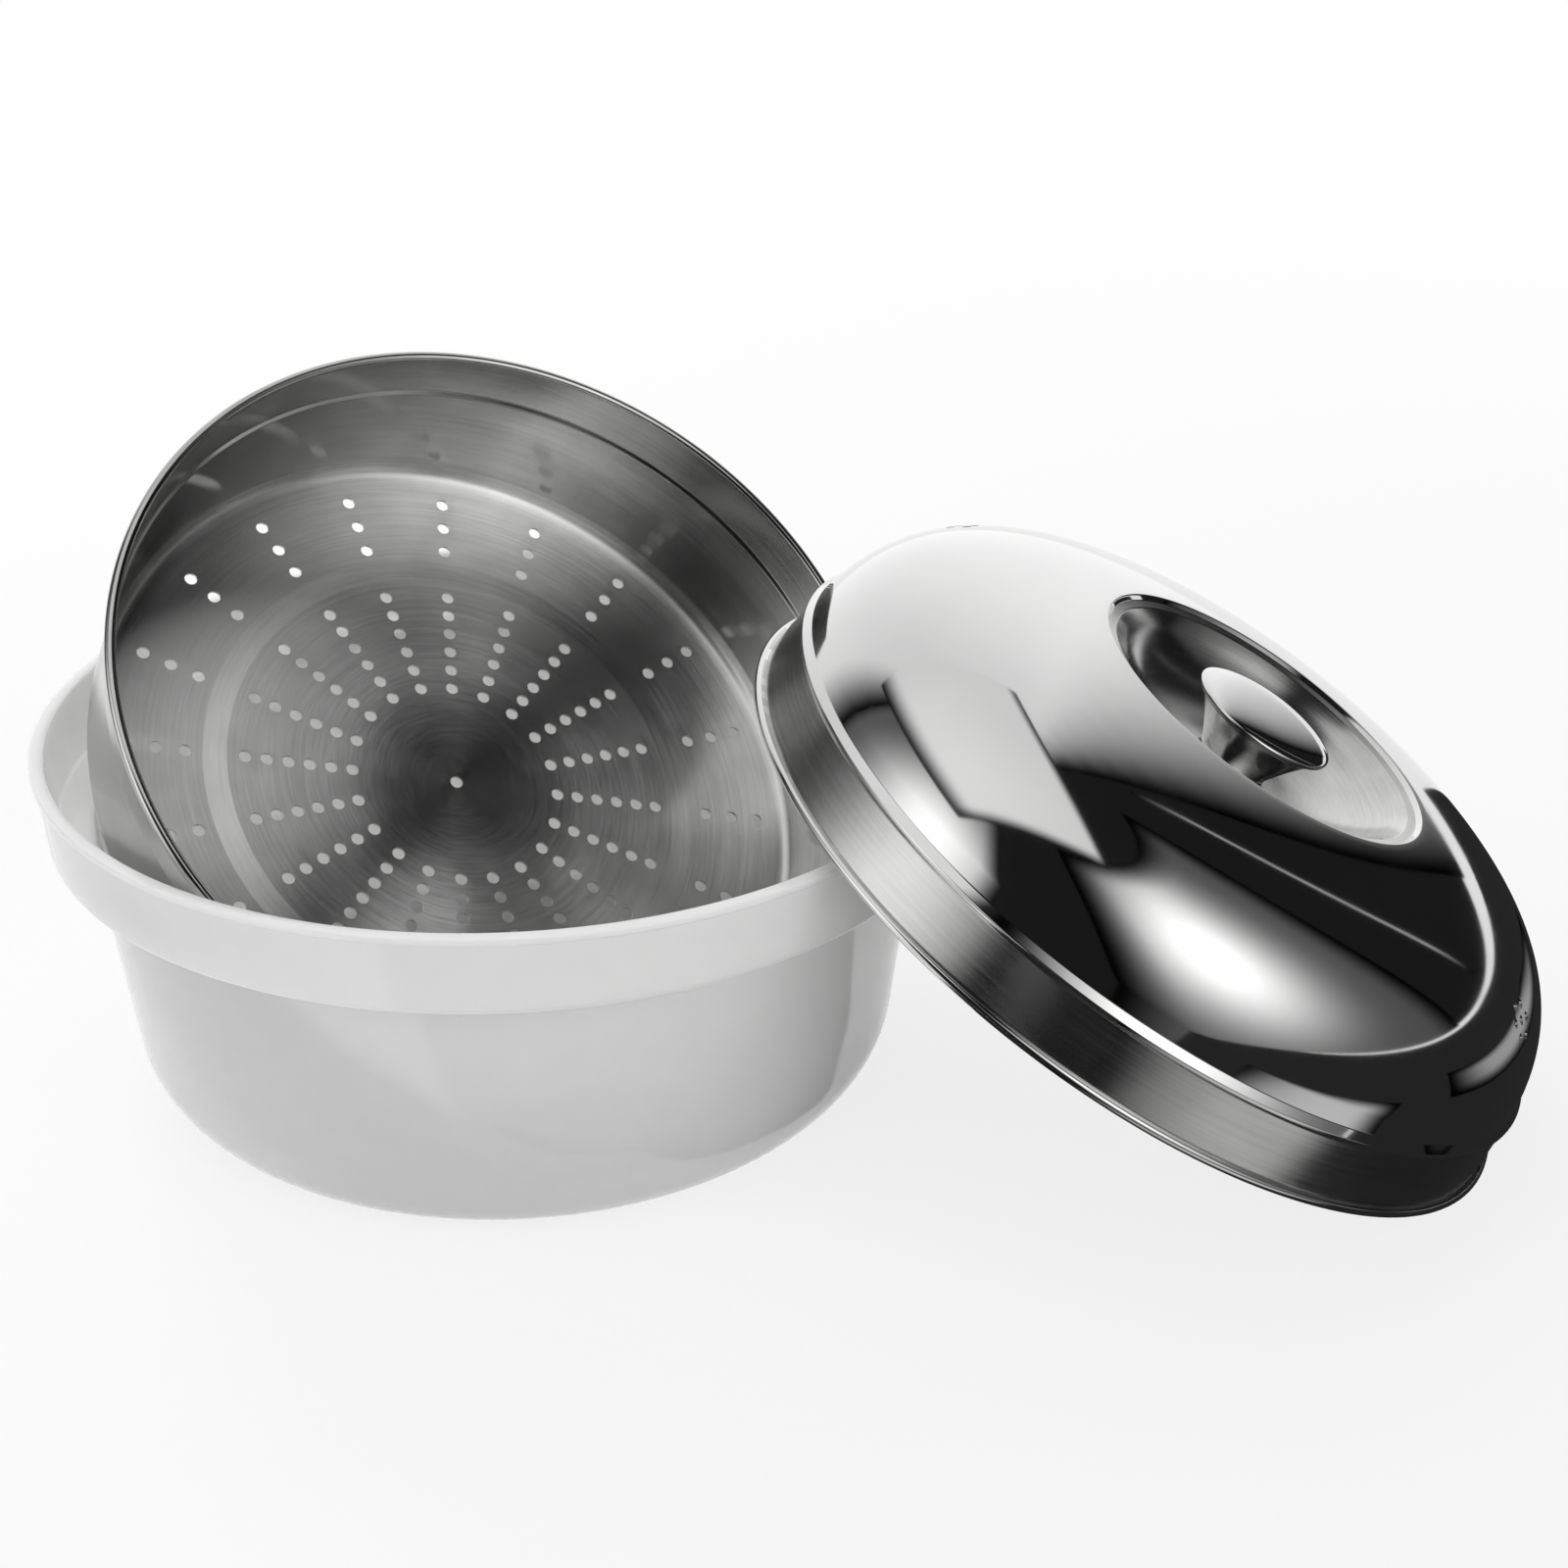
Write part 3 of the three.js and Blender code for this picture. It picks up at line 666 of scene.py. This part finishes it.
# %% [markdown]
# ## Brushed stainless steel
# The tray spins in a lathe while an abrasive pad brushes it, so its marks run round its axis. Each mark is a
# tiny groove that spreads light across itself, not along itself. So highlights on the floor open into
# fans that point at the centre. The shader's anisotropy does that spreading, along a tangent that is square
# to the groove and lies in the surface. Near the centre the pad hardly moves, so the marks fade out there and
# the floor shows a dark, smoother spot. Real marks are about 0.1 mm apart. They are drawn 0.8 mm apart here,
# because finer ones would not show. A pressed floor is never quite flat either: it bows by a few degrees from
# a crest off its middle, which the bump adds to the marks, because the solid's floor is flat. The wall keeps
# more of the press's shine: it is less rough, and it mirrors the bright holes as soft streaks.

# %% Brushed finish
MARK_SPACING_MM = 0.8
MARK_LENGTH_MM = 30
MARK_REACH_MM = 85
MARKS_MIDDLE = (0.7, 1.3)
CLOUD_MM = 16
CALM_SHARE = 0.7
CALM_SPAN = (0.4, 1.6)
FLOOR_BOW = 0.0006
FLOOR_CREST_MM = (56, -43, 0)


def brushed(name, colours, rough, mark_depth, stretch, calm=1, bow=0):
    """Steel with brush marks round the piece's axis.

    It takes a colour range, a roughness range, the marks' depth in mm, the spread across them, the radius in
    mm at which they have half faded towards the centre, and how much steeper the sheet's bow gets for each mm
    from its crest.
    """
    material, tree = new_finish(name)
    place = add(tree, "ShaderNodeAttribute", {}, attribute_name="own_place").outputs["Vector"]
    flat = add(tree, "ShaderNodeVectorMath", {0: place, 1: (1, 1, 0)}, operation="MULTIPLY").outputs[0]
    radius = add(tree, "ShaderNodeVectorMath", {0: flat}, operation="LENGTH").outputs["Value"]
    from_axis = add(tree, "ShaderNodeVectorMath", {0: flat}, operation="NORMALIZE").outputs[0]
    height = add(tree, "ShaderNodeSeparateXYZ", {0: place}).outputs["Z"]
    along = add(tree, "ShaderNodeMath", {0: radius, 1: height}, operation="ADD").outputs[0]
    marks_along = add(tree, "ShaderNodeMath", {0: along, 1: MARK_SPACING_MM}, operation="DIVIDE").outputs[0]
    marks_round = add(
        tree, "ShaderNodeVectorMath", {0: from_axis, "Scale": MARK_REACH_MM / MARK_LENGTH_MM},
        operation="SCALE",
    ).outputs[0]
    sides = add(tree, "ShaderNodeSeparateXYZ", {0: marks_round})
    marks_at = add(
        tree, "ShaderNodeCombineXYZ", {"X": marks_along, "Y": sides.outputs["X"], "Z": sides.outputs["Y"]},
    ).outputs[0]
    marks = add(tree, "ShaderNodeTexNoise", {"Vector": marks_at, "Scale": 1.0, "Detail": 2.0}).outputs["Fac"]
    cloud_at = add(tree, "ShaderNodeVectorMath", {0: place, "Scale": 1 / CLOUD_MM}, operation="SCALE")
    cloud = add(
        tree, "ShaderNodeTexNoise", {"Vector": cloud_at.outputs[0], "Scale": 1.0, "Detail": 2.0},
    ).outputs["Fac"]
    blend = add(tree, "ShaderNodeMath", {0: marks, 1: cloud}, operation="ADD").outputs[0]
    share = add(
        tree, "ShaderNodeMapRange",
        {"Value": blend, "From Min": MARKS_MIDDLE[0], "From Max": MARKS_MIDDLE[1]},
    ).outputs["Result"]
    tint = add(
        tree, "ShaderNodeMix", {"Factor": share, "A": linear(colours[0]), "B": linear(colours[1])},
        data_type="RGBA",
    )
    worn = add(
        tree, "ShaderNodeMapRange", {"Value": share, "To Min": rough[0], "To Max": rough[1]},
    ).outputs["Result"]
    spread = add(tree, "ShaderNodeMapRange", {
        "Value": radius,
        "From Min": CALM_SPAN[0] * calm,
        "From Max": CALM_SPAN[1] * calm,
        "To Min": CALM_SHARE,
        "To Max": 1.0,
    }, interpolation_type="SMOOTHSTEP").outputs["Result"]
    roughness = add(tree, "ShaderNodeMath", {0: worn, 1: spread}, operation="MULTIPLY").outputs[0]
    anisotropy = add(tree, "ShaderNodeMath", {0: spread, 1: stretch}, operation="MULTIPLY").outputs[0]
    bowed = 0.0
    if bow:
        from_crest = add(
            tree, "ShaderNodeVectorMath", {0: flat, 1: FLOOR_CREST_MM}, operation="DISTANCE",
        ).outputs["Value"]
        squared = add(tree, "ShaderNodeMath", {0: from_crest, 1: 2.0}, operation="POWER").outputs[0]
        bowed = add(tree, "ShaderNodeMath", {0: squared, 1: -bow / 2}, operation="MULTIPLY").outputs[0]
    height_mm = add(
        tree, "ShaderNodeMath", {0: marks, 1: mark_depth, 2: bowed}, operation="MULTIPLY_ADD",
    ).outputs[0]
    groove = add(tree, "ShaderNodeBump", {"Height": height_mm, "Distance": MM, "Strength": 1.0})
    stored = add(tree, "ShaderNodeAttribute", {}, attribute_name="round_way").outputs["Vector"]
    groove_way = add(
        tree, "ShaderNodeVectorTransform", {"Vector": stored}, convert_from="OBJECT", convert_to="WORLD",
    ).outputs["Vector"]
    outward = add(tree, "ShaderNodeNewGeometry", {}).outputs["Normal"]
    across = add(tree, "ShaderNodeVectorMath", {0: groove_way, 1: outward}, operation="CROSS_PRODUCT")
    tangent = add(tree, "ShaderNodeVectorMath", {0: across.outputs[0]}, operation="NORMALIZE").outputs[0]
    shader = add(tree, "ShaderNodeBsdfPrincipled", {
        "Base Color": tint.outputs["Result"],
        "Metallic": 1.0,
        "Roughness": roughness,
        "Anisotropic": anisotropy,
        "Tangent": tangent,
        "Normal": groove.outputs["Normal"],
    })
    finish_with(tree, shader.outputs["BSDF"])
    return material


floor_steel = brushed(
    "stainless steel, lathe brushed", ("#d0d0cf", "#e6e6e5"), rough=(0.235, 0.268),
    mark_depth=0.002, stretch=1.0, calm=26, bow=FLOOR_BOW,
)
wall_steel = brushed(
    "stainless steel, drawn", ("#b4b4b3", "#c6c6c5"), rough=(0.11, 0.15), mark_depth=0.001, stretch=0.8,
)
satin_steel = brushed(
    "stainless steel, satin brushed", ("#b9b9b8", "#cbcbca"), rough=(0.16, 0.22),
    mark_depth=0.001, stretch=0.7,
)
print("brushed finishes:", ", ".join(steel.name for steel in (floor_steel, wall_steel, satin_steel)))

# %% [markdown]
# ## Mirror-polished stainless steel
# After brushing, the dome and the knob are buffed on a cloth wheel until they mirror the room. What is left
# is a trace of the buffing, faint wide clouds of slightly duller gloss, and a sheet that is not perfectly
# even. The skirt and the well stay satin, because the wheel doesn't reach into them as well.

# %% Polished finish
BUFF_CLOUD_MM = 26
SHEET_WAVE_MM = 40
SHEET_WAVE_DEPTH_MM = 0.05
polished_steel, tree = new_finish("stainless steel, mirror polished")
place = add(tree, "ShaderNodeAttribute", {}, attribute_name="own_place").outputs["Vector"]
buff_at = add(tree, "ShaderNodeVectorMath", {0: place, "Scale": 1 / BUFF_CLOUD_MM}, operation="SCALE")
buff = add(
    tree, "ShaderNodeTexNoise", {"Vector": buff_at.outputs[0], "Scale": 1.0, "Detail": 5.0},
).outputs["Fac"]
wave_at = add(tree, "ShaderNodeVectorMath", {0: place, "Scale": 1 / SHEET_WAVE_MM}, operation="SCALE")
wave = add(
    tree, "ShaderNodeTexNoise", {"Vector": wave_at.outputs[0], "Scale": 1.0, "Detail": 1.0},
).outputs["Fac"]
tint = add(
    tree, "ShaderNodeMix", {"Factor": buff, "A": linear("#d2d2d2"), "B": linear("#dcdcdb")}, data_type="RGBA",
)
gloss = add(tree, "ShaderNodeMapRange", {
    "Value": buff,
    "From Min": NOISE_MIDDLE[0],
    "From Max": NOISE_MIDDLE[1],
    "To Min": 0.045,
    "To Max": 0.085,
})
uneven = add(tree, "ShaderNodeBump", {
    "Height": wave, "Distance": SHEET_WAVE_DEPTH_MM * MM, "Strength": 0.35,
})
shader = add(tree, "ShaderNodeBsdfPrincipled", {
    "Base Color": tint.outputs["Result"],
    "Metallic": 1.0,
    "Roughness": gloss.outputs["Result"],
    "Normal": uneven.outputs["Normal"],
})
finish_with(tree, shader.outputs["BSDF"])
print("polished finish:", polished_steel.name)

# %% [markdown]
# ## Zinc-plated steel
# The screw and the washer are plated, which leaves a dull grey with a fine crystal grain of about half a
# millimetre. It is rougher than the polished parts and mirrors nothing clearly.

# %% Plated finish
GRAIN_MM = 0.6
zinc_steel, tree = new_finish("zinc plated steel")
place = add(tree, "ShaderNodeAttribute", {}, attribute_name="own_place").outputs["Vector"]
grain_at = add(tree, "ShaderNodeVectorMath", {0: place, "Scale": 1 / GRAIN_MM}, operation="SCALE").outputs[0]
grain = add(tree, "ShaderNodeTexVoronoi", {"Vector": grain_at, "Scale": 1.0}).outputs["Color"]
shade = add(tree, "ShaderNodeSeparateXYZ", {0: grain}).outputs["X"]
tint = add(
    tree, "ShaderNodeMix", {"Factor": shade, "A": linear("#9c9da0"), "B": linear("#b4b5b7")},
    data_type="RGBA",
)
dull = add(tree, "ShaderNodeMapRange", {"Value": shade, "To Min": 0.34, "To Max": 0.48})
shader = add(tree, "ShaderNodeBsdfPrincipled", {
    "Base Color": tint.outputs["Result"], "Metallic": 1.0, "Roughness": dull.outputs["Result"],
})
finish_with(tree, shader.outputs["BSDF"])
print("plated finish:", zinc_steel.name)

# %% [markdown]
# ## Which finish goes where
# The lid and the tray are one mesh each, with two finishes. Each face's own place says where it lies: on the
# skirt, on the dome or in the well, and on the tray's floor or its wall.

# %% Assign finishes


def two_finishes(piece, pose, main, other, is_other):
    """Gives a piece its main finish, and another one to the faces that a test on radius and height picks."""
    piece.data.materials.append(main)
    piece.data.materials.append(other)
    to_own = pose.inverted()
    for face in piece.data.polygons:
        centre = to_own @ face.center
        face.material_index = int(is_other(math.hypot(centre.x, centre.y), centre.z))
    print(piece.name, "has", sum(face.material_index for face in piece.data.polygons), "faces in", other.name)


two_finishes(
    lid, lid_pose, polished_steel, satin_steel,
    lambda radius, height: radius < shoulder_radius or LID_LIP_BEAD < height < LEDGE_HEIGHT - LEDGE_WIDTH,
)
two_finishes(
    tray, tray_pose, floor_steel, wall_steel,
    lambda radius, height: height > TRAY_SHEET + TRAY_CORNER,
)
for piece, material in [
    ("turned_knob_cap", polished_steel),
    ("turned_knob_stem", polished_steel),
    ("fixing_screw", zinc_steel),
    ("fixing_washer", zinc_steel),
]:
    bpy.data.objects[piece].data.materials.append(material)

# %% [markdown]
# ## The studio
# Polished steel shows the room more than itself, so the room is designed. A dark room keeps the steel from
# turning into plain white. In it are a pale backdrop behind the object, a scrim that hangs level and low over
# it, a large softbox on the right with a bright core, a smaller one on the left, and a thin lit slit. Apart
# from the scrim, each is a patch of a sphere round the object, given by its azimuth and elevation in degrees:
# 0 is straight behind the object, 90 is to the right. The camera doesn't see the panels, only what they light
# and what mirrors them. The scrim hangs low, so that the tray sees it further to the right than the lid does.

# %% Studio panels
STUDIO_CENTRE = Vector((0.1, -0.02, 0.06))
PANEL_RADIUS = 2.2
PANEL_STEPS = 12


def way(azimuth, elevation):
    """The unit direction of an azimuth and an elevation in degrees."""
    a, e = math.radians(azimuth), math.radians(elevation)
    return Vector((math.sin(a) * math.cos(e), math.cos(a) * math.cos(e), math.sin(e)))


def stage_only(made):
    """Hides a piece of the studio from the camera and lets the lamps shine through it."""
    made.visible_camera = False
    made.visible_shadow = False


def panel(name, places, core, rim, hot_spot, reach, fade, gather=1):
    """A glowing sheet through a grid of places.

    Brightness falls from core at hot_spot to rim over reach, faster for a larger gather, and to nothing over
    fade at the left, right, lower and upper edge. hot_spot and fade are shares of the sheet's width and
    height, reach is a share of its height.
    """
    aspect = (places[-1][0] - places[0][0]).length / (places[0][-1] - places[0][0]).length
    shape = bmesh.new()
    chart = shape.loops.layers.uv.new("panel")
    grid = [[shape.verts.new(place) for place in column] for column in places]
    across, up = len(places) - 1, len(places[0]) - 1
    for i in range(across):
        for j in range(up):
            corners = [(i, j), (i + 1, j), (i + 1, j + 1), (i, j + 1)]
            face = shape.faces.new([grid[a][b] for a, b in corners])
            for loop, (a, b) in zip(face.loops, corners):
                loop[chart].uv = (a / across, b / up)
    made = to_object(name, shape)
    material, tree = new_finish(name.replace("_", " ") + " glow")
    spot = add(tree, "ShaderNodeUVMap", {}, uv_map="panel").outputs["UV"]
    from_hot = add(tree, "ShaderNodeVectorMath", {0: spot, 1: (*hot_spot, 0)}, operation="SUBTRACT")
    evened = add(
        tree, "ShaderNodeVectorMath", {0: from_hot.outputs[0], 1: (aspect, 1, 0)}, operation="MULTIPLY",
    )
    far = add(tree, "ShaderNodeVectorMath", {0: evened.outputs[0]}, operation="LENGTH").outputs["Value"]
    fall = add(
        tree, "ShaderNodeMapRange", {"Value": far, "From Min": reach, "From Max": 0.0},
        interpolation_type="SMOOTHSTEP",
    ).outputs["Result"]
    gathered = add(tree, "ShaderNodeMath", {0: fall, 1: gather}, operation="POWER").outputs[0]
    strength = add(
        tree, "ShaderNodeMapRange", {"Value": gathered, "To Min": rim, "To Max": core},
    ).outputs["Result"]
    sides = add(tree, "ShaderNodeSeparateXYZ", {0: spot})
    edges = [("X", 0, fade[0]), ("X", 1, 1 - fade[1]), ("Y", 0, fade[2]), ("Y", 1, 1 - fade[3])]
    for axis, outer, inner in edges:
        if outer != inner:
            edge = add(
                tree, "ShaderNodeMapRange",
                {"Value": sides.outputs[axis], "From Min": outer, "From Max": inner},
                interpolation_type="SMOOTHSTEP",
            ).outputs["Result"]
            strength = add(tree, "ShaderNodeMath", {0: strength, 1: edge}, operation="MULTIPLY").outputs[0]
    glow = add(tree, "ShaderNodeEmission", {"Color": linear("#ffffff"), "Strength": strength})
    finish_with(tree, glow.outputs["Emission"])
    made.data.materials.append(material)
    stage_only(made)
    return made


def curved(azimuths, elevations, flare=0):
    """A grid of places on a sphere round the steamer, with the right edge leaning out by flare at the top."""
    left, right = azimuths
    low, high = elevations
    shares = np.linspace(0, 1, PANEL_STEPS + 1)
    places = []
    for across in shares:
        column = [way(left + (right + flare * up - left) * across, low + (high - low) * up) for up in shares]
        places.append([STUDIO_CENTRE + PANEL_RADIUS * direction for direction in column])
    return places


def level(xs, ys, height):
    """The four corners of a level sheet, measured from the middle of the studio."""
    return [[STUDIO_CENTRE + Vector((x, y, height)) for y in ys] for x in xs]


SCRIM = level((-0.7, 0.266), (-0.5, 0.447), 0.87)
BACKDROP = curved((-66, 36), (-16, 78), flare=30)
RIGHT_BOX = curved((78, 184), (-6, 61))
LEFT_BOX = curved((-143, -64), (-6, 58))
SLIT = curved((59.4, 60.6), (2, 52))
panels = [
    panel(
        "overhead_scrim", SCRIM, core=1.0, rim=0.86, hot_spot=(0.3, 0.3), reach=0.8,
        fade=(0.25, 0.05, 0.11, 0),
    ),
    panel(
        "backdrop", BACKDROP, core=1.2, rim=0.86, hot_spot=(0.65, 0.18), reach=0.8,
        fade=(0.2, 0.2, 0, 0),
    ),
    panel(
        "right_softbox", RIGHT_BOX, core=1.85, rim=0.1, hot_spot=(0.58, 0.58), reach=1.0,
        fade=(0.1, 0.22, 0, 0.12), gather=3,
    ),
    panel(
        "left_softbox", LEFT_BOX, core=1.7, rim=0.12, hot_spot=(0.367, 0.5), reach=0.75,
        fade=(0.12, 0.08, 0, 0.1), gather=1.5,
    ),
    panel(
        "window_slit", SLIT, core=0.5, rim=0.4, hot_spot=(0.5, 0.5), reach=0.7,
        fade=(0.3, 0.3, 0.2, 0.2),
    ),
]
print("studio panels:", ", ".join(made.name for made in panels))

# %% Dark room
ROOM_RADIUS = 3.2
shape = bmesh.new()
bmesh.ops.create_uvsphere(shape, u_segments=48, v_segments=24, radius=ROOM_RADIUS)
room = to_object("dark_room", shape)
room.location = STUDIO_CENTRE
room_paint, tree = new_finish("black room paint")
paint = add(tree, "ShaderNodeEmission", {"Color": linear("#1e1e1e"), "Strength": 1.0})
finish_with(tree, paint.outputs["Emission"])
room.data.materials.append(room_paint)
stage_only(room)
print("room radius:", ROOM_RADIUS, "m")

# %% [markdown]
# ## Painted shade and light on the table
# Below the horizon, steel mirrors the table. A dark card, seen only in reflections, is painted shade for the
# shaded table, which gives the steel dark lower edges against a white ground. Pale strips that glow, seen
# only in reflections too, are painted light for lines of light on a lit table. The dark card ends short of
# the bowl, so that the bowl's right edge mirrors white paper.

# %% Table cards of painted shade and light
CARD_DROP = 0.1 * MM
# Outline of the dark card: painted shade for the shaded table that the steel mirrors.
SHADE_CARD_OUTLINE = [
    (0.2, 0), (0.62, 0.68), (1.6, 0.68), (1.6, -3), (-0.9, -3), (-0.9, -0.9),
    (-0.25, -0.42), (-0.02, -0.15), (0.055, -0.115), (0.1, -0.05), (0.135, -0.02),
]


def mirrored_only(card):
    """Hides a card from everything but reflections."""
    card.visible_diffuse = False
    card.visible_transmission = False


shape = bmesh.new()
shape.faces.new([shape.verts.new((x, y, -CARD_DROP)) for x, y in SHADE_CARD_OUTLINE])
painted_shade_card = to_object("black_table_card", shape)
# The dark card glows a dim grey and only reflections see it: painted shade.
painted_shade_paint, tree = new_finish("black card")
paper = add(tree, "ShaderNodeEmission", {"Color": linear("#2a2a2a"), "Strength": 1.0})
finish_with(tree, paper.outputs["Emission"])
painted_shade_card.data.materials.append(painted_shade_paint)
stage_only(painted_shade_card)
on_table = -STUDIO_CENTRE.z - CARD_DROP / 2
# Pale strips that glow and that only reflections see: painted light for the lit table.
PAINTED_LIGHT_FRONT_STRIP = level((-0.02, 0.24), (-0.44, -0.14), on_table)
PAINTED_LIGHT_RIGHT_STRIP = level((0.245, 0.35), (-0.09, 0.14), on_table)
# The dark card and the pale strips: painted shade and painted light that only reflections see.
cards = [
    painted_shade_card,
    panel(
        "front_table_card", PAINTED_LIGHT_FRONT_STRIP, core=0.7, rim=0.02, hot_spot=(0.68, 0.8), reach=0.9,
        fade=(0.3, 0.12, 0.1, 0.1),
    ),
    panel(
        "right_table_card", PAINTED_LIGHT_RIGHT_STRIP, core=0.4, rim=0.3, hot_spot=(0.5, 0.5), reach=0.8,
        fade=(0.35, 0.4, 0.3, 0.3),
    ),
]
for card in cards:
    mirrored_only(card)
print("table cards:", ", ".join(card.name for card in cards))

# %% [markdown]
# ## Floor and background
# The floor is a pale sheet. What the camera sees of it is mostly an even white, mixed with the light
# that falls on it, so the soft shadow under the steamer stays. Away from the steamer it turns all even, so
# that its far edge doesn't show against the world, which is the same white. What lights the object is weaker
# than what is seen, so a white ground costs no shading.

# %% Floor


def shown_directly(tree):
    """A socket that is 1 where the camera, a mirror or glass sees a surface, and 0 for light that falls."""
    seen = add(tree, "ShaderNodeLightPath", {})
    direct = add(
        tree, "ShaderNodeMath",
        {0: seen.outputs["Is Camera Ray"], 1: seen.outputs["Is Glossy Ray"]}, operation="MAXIMUM",
    ).outputs[0]
    return add(
        tree, "ShaderNodeMath", {0: direct, 1: seen.outputs["Is Transmission Ray"]}, operation="MAXIMUM",
    ).outputs[0]


FLOOR_HALF = 3.0
FLOOR_DROP = 0.2 * MM
EVEN_SHARE = 0.8
SHADOW_REACH = (0.25, 1.2)
shape = bmesh.new()
bmesh.ops.create_grid(shape, x_segments=1, y_segments=1, size=FLOOR_HALF)
floor = to_object("studio_floor", shape)
floor.location.z = -FLOOR_DROP
pale, tree = new_finish("pale studio paper")
shown = shown_directly(tree)
place = add(tree, "ShaderNodeNewGeometry", {}).outputs["Position"]
far = add(tree, "ShaderNodeVectorMath", {0: place}, operation="LENGTH").outputs["Value"]
even_share = add(tree, "ShaderNodeMapRange", {
    "Value": far,
    "From Min": SHADOW_REACH[0],
    "From Max": SHADOW_REACH[1],
    "To Min": EVEN_SHARE,
    "To Max": 1.0,
}, interpolation_type="SMOOTHSTEP").outputs["Result"]
share = add(tree, "ShaderNodeMath", {0: shown, 1: even_share}, operation="MULTIPLY").outputs[0]
paper = add(tree, "ShaderNodeBsdfDiffuse", {"Color": linear("#f2f2f2")})
even = add(tree, "ShaderNodeEmission", {"Color": linear("#ffffff"), "Strength": 1.0})
mixed = add(
    tree, "ShaderNodeMixShader", {0: share, 1: paper.outputs["BSDF"], 2: even.outputs["Emission"]},
)
finish_with(tree, mixed.outputs["Shader"])
floor.data.materials.append(pale)
print("floor half width:", FLOOR_HALF, "m")

# %% World
FILL_LIGHT = 0.5
world = bpy.data.worlds.new("white studio")
bpy.context.scene.world = world
world.use_nodes = True
tree = world.node_tree
tree.nodes.clear()
strength = add(
    tree, "ShaderNodeMapRange", {"Value": shown_directly(tree), "To Min": FILL_LIGHT, "To Max": 1.0},
).outputs["Result"]
white = add(tree, "ShaderNodeBackground", {"Color": linear("#ffffff"), "Strength": strength})
add(tree, "ShaderNodeOutputWorld", {"Surface": white.outputs["Background"]})
print("world:", world.name)

# %% [markdown]
# ## Lamps
# Broad lamps bring the white bowl to the level at which its colour looks as it was chosen. The one at the
# back left shines in under the raised tray, so that the bowl shows white through its holes. The lamps are
# hidden from reflections, because the panels already give the steel something to mirror.

# %% Lamps
LAMP_DISTANCE = 1.5


def lamp(name, azimuth, elevation, size, power):
    """A square soft lamp that faces the steamer."""
    light = bpy.data.lights.new(name, "AREA")
    light.shape = "SQUARE"
    light.size = size
    light.energy = power
    made = bpy.data.objects.new(name, light)
    made.location = STUDIO_CENTRE + LAMP_DISTANCE * way(azimuth, elevation)
    made.rotation_euler = way(azimuth, elevation).to_track_quat("Z", "Y").to_euler()
    made.visible_glossy = False
    bpy.context.scene.collection.objects.link(made)
    return made


lamps = [
    lamp("front_left_lamp", azimuth=-150, elevation=40, size=1.2, power=3),
    lamp("front_right_lamp", azimuth=150, elevation=16, size=1.2, power=3.8),
    lamp("back_left_lamp", azimuth=-40, elevation=38, size=1.0, power=7),
    lamp("top_lamp", azimuth=30, elevation=80, size=1.4, power=1),
]
print("lamps:", ", ".join(made.name for made in lamps))

# %% [markdown]
# ## Camera
# The camera stands in front, 26 degrees above the table, with a lens of 66 mm on a 36 mm wide sensor. Both
# were worked out from the ellipses that the round rims make in the picture: their flatness gives the height,
# and how it changes with depth gives the lens.

# %% Camera
CAMERA_PLACE = (74.37 * MM, -704.89 * MM, 423.85 * MM)
CAMERA_ELEVATION = 25.93
LENS_MM = 66.37
SENSOR_MM = 36
NEAR_CLIP = 0.01
camera_data = bpy.data.cameras.new("studio camera")
camera_data.sensor_width = SENSOR_MM
camera_data.lens = LENS_MM
camera_data.clip_start = NEAR_CLIP
camera = bpy.data.objects.new("studio_camera", camera_data)
camera.location = CAMERA_PLACE
camera.rotation_euler = (math.radians(90 - CAMERA_ELEVATION), 0, 0)
bpy.context.scene.collection.objects.link(camera)
bpy.context.scene.camera = camera
bpy.context.scene.view_settings.view_transform = "Standard"
print("camera", [round(value, 3) for value in camera.location])
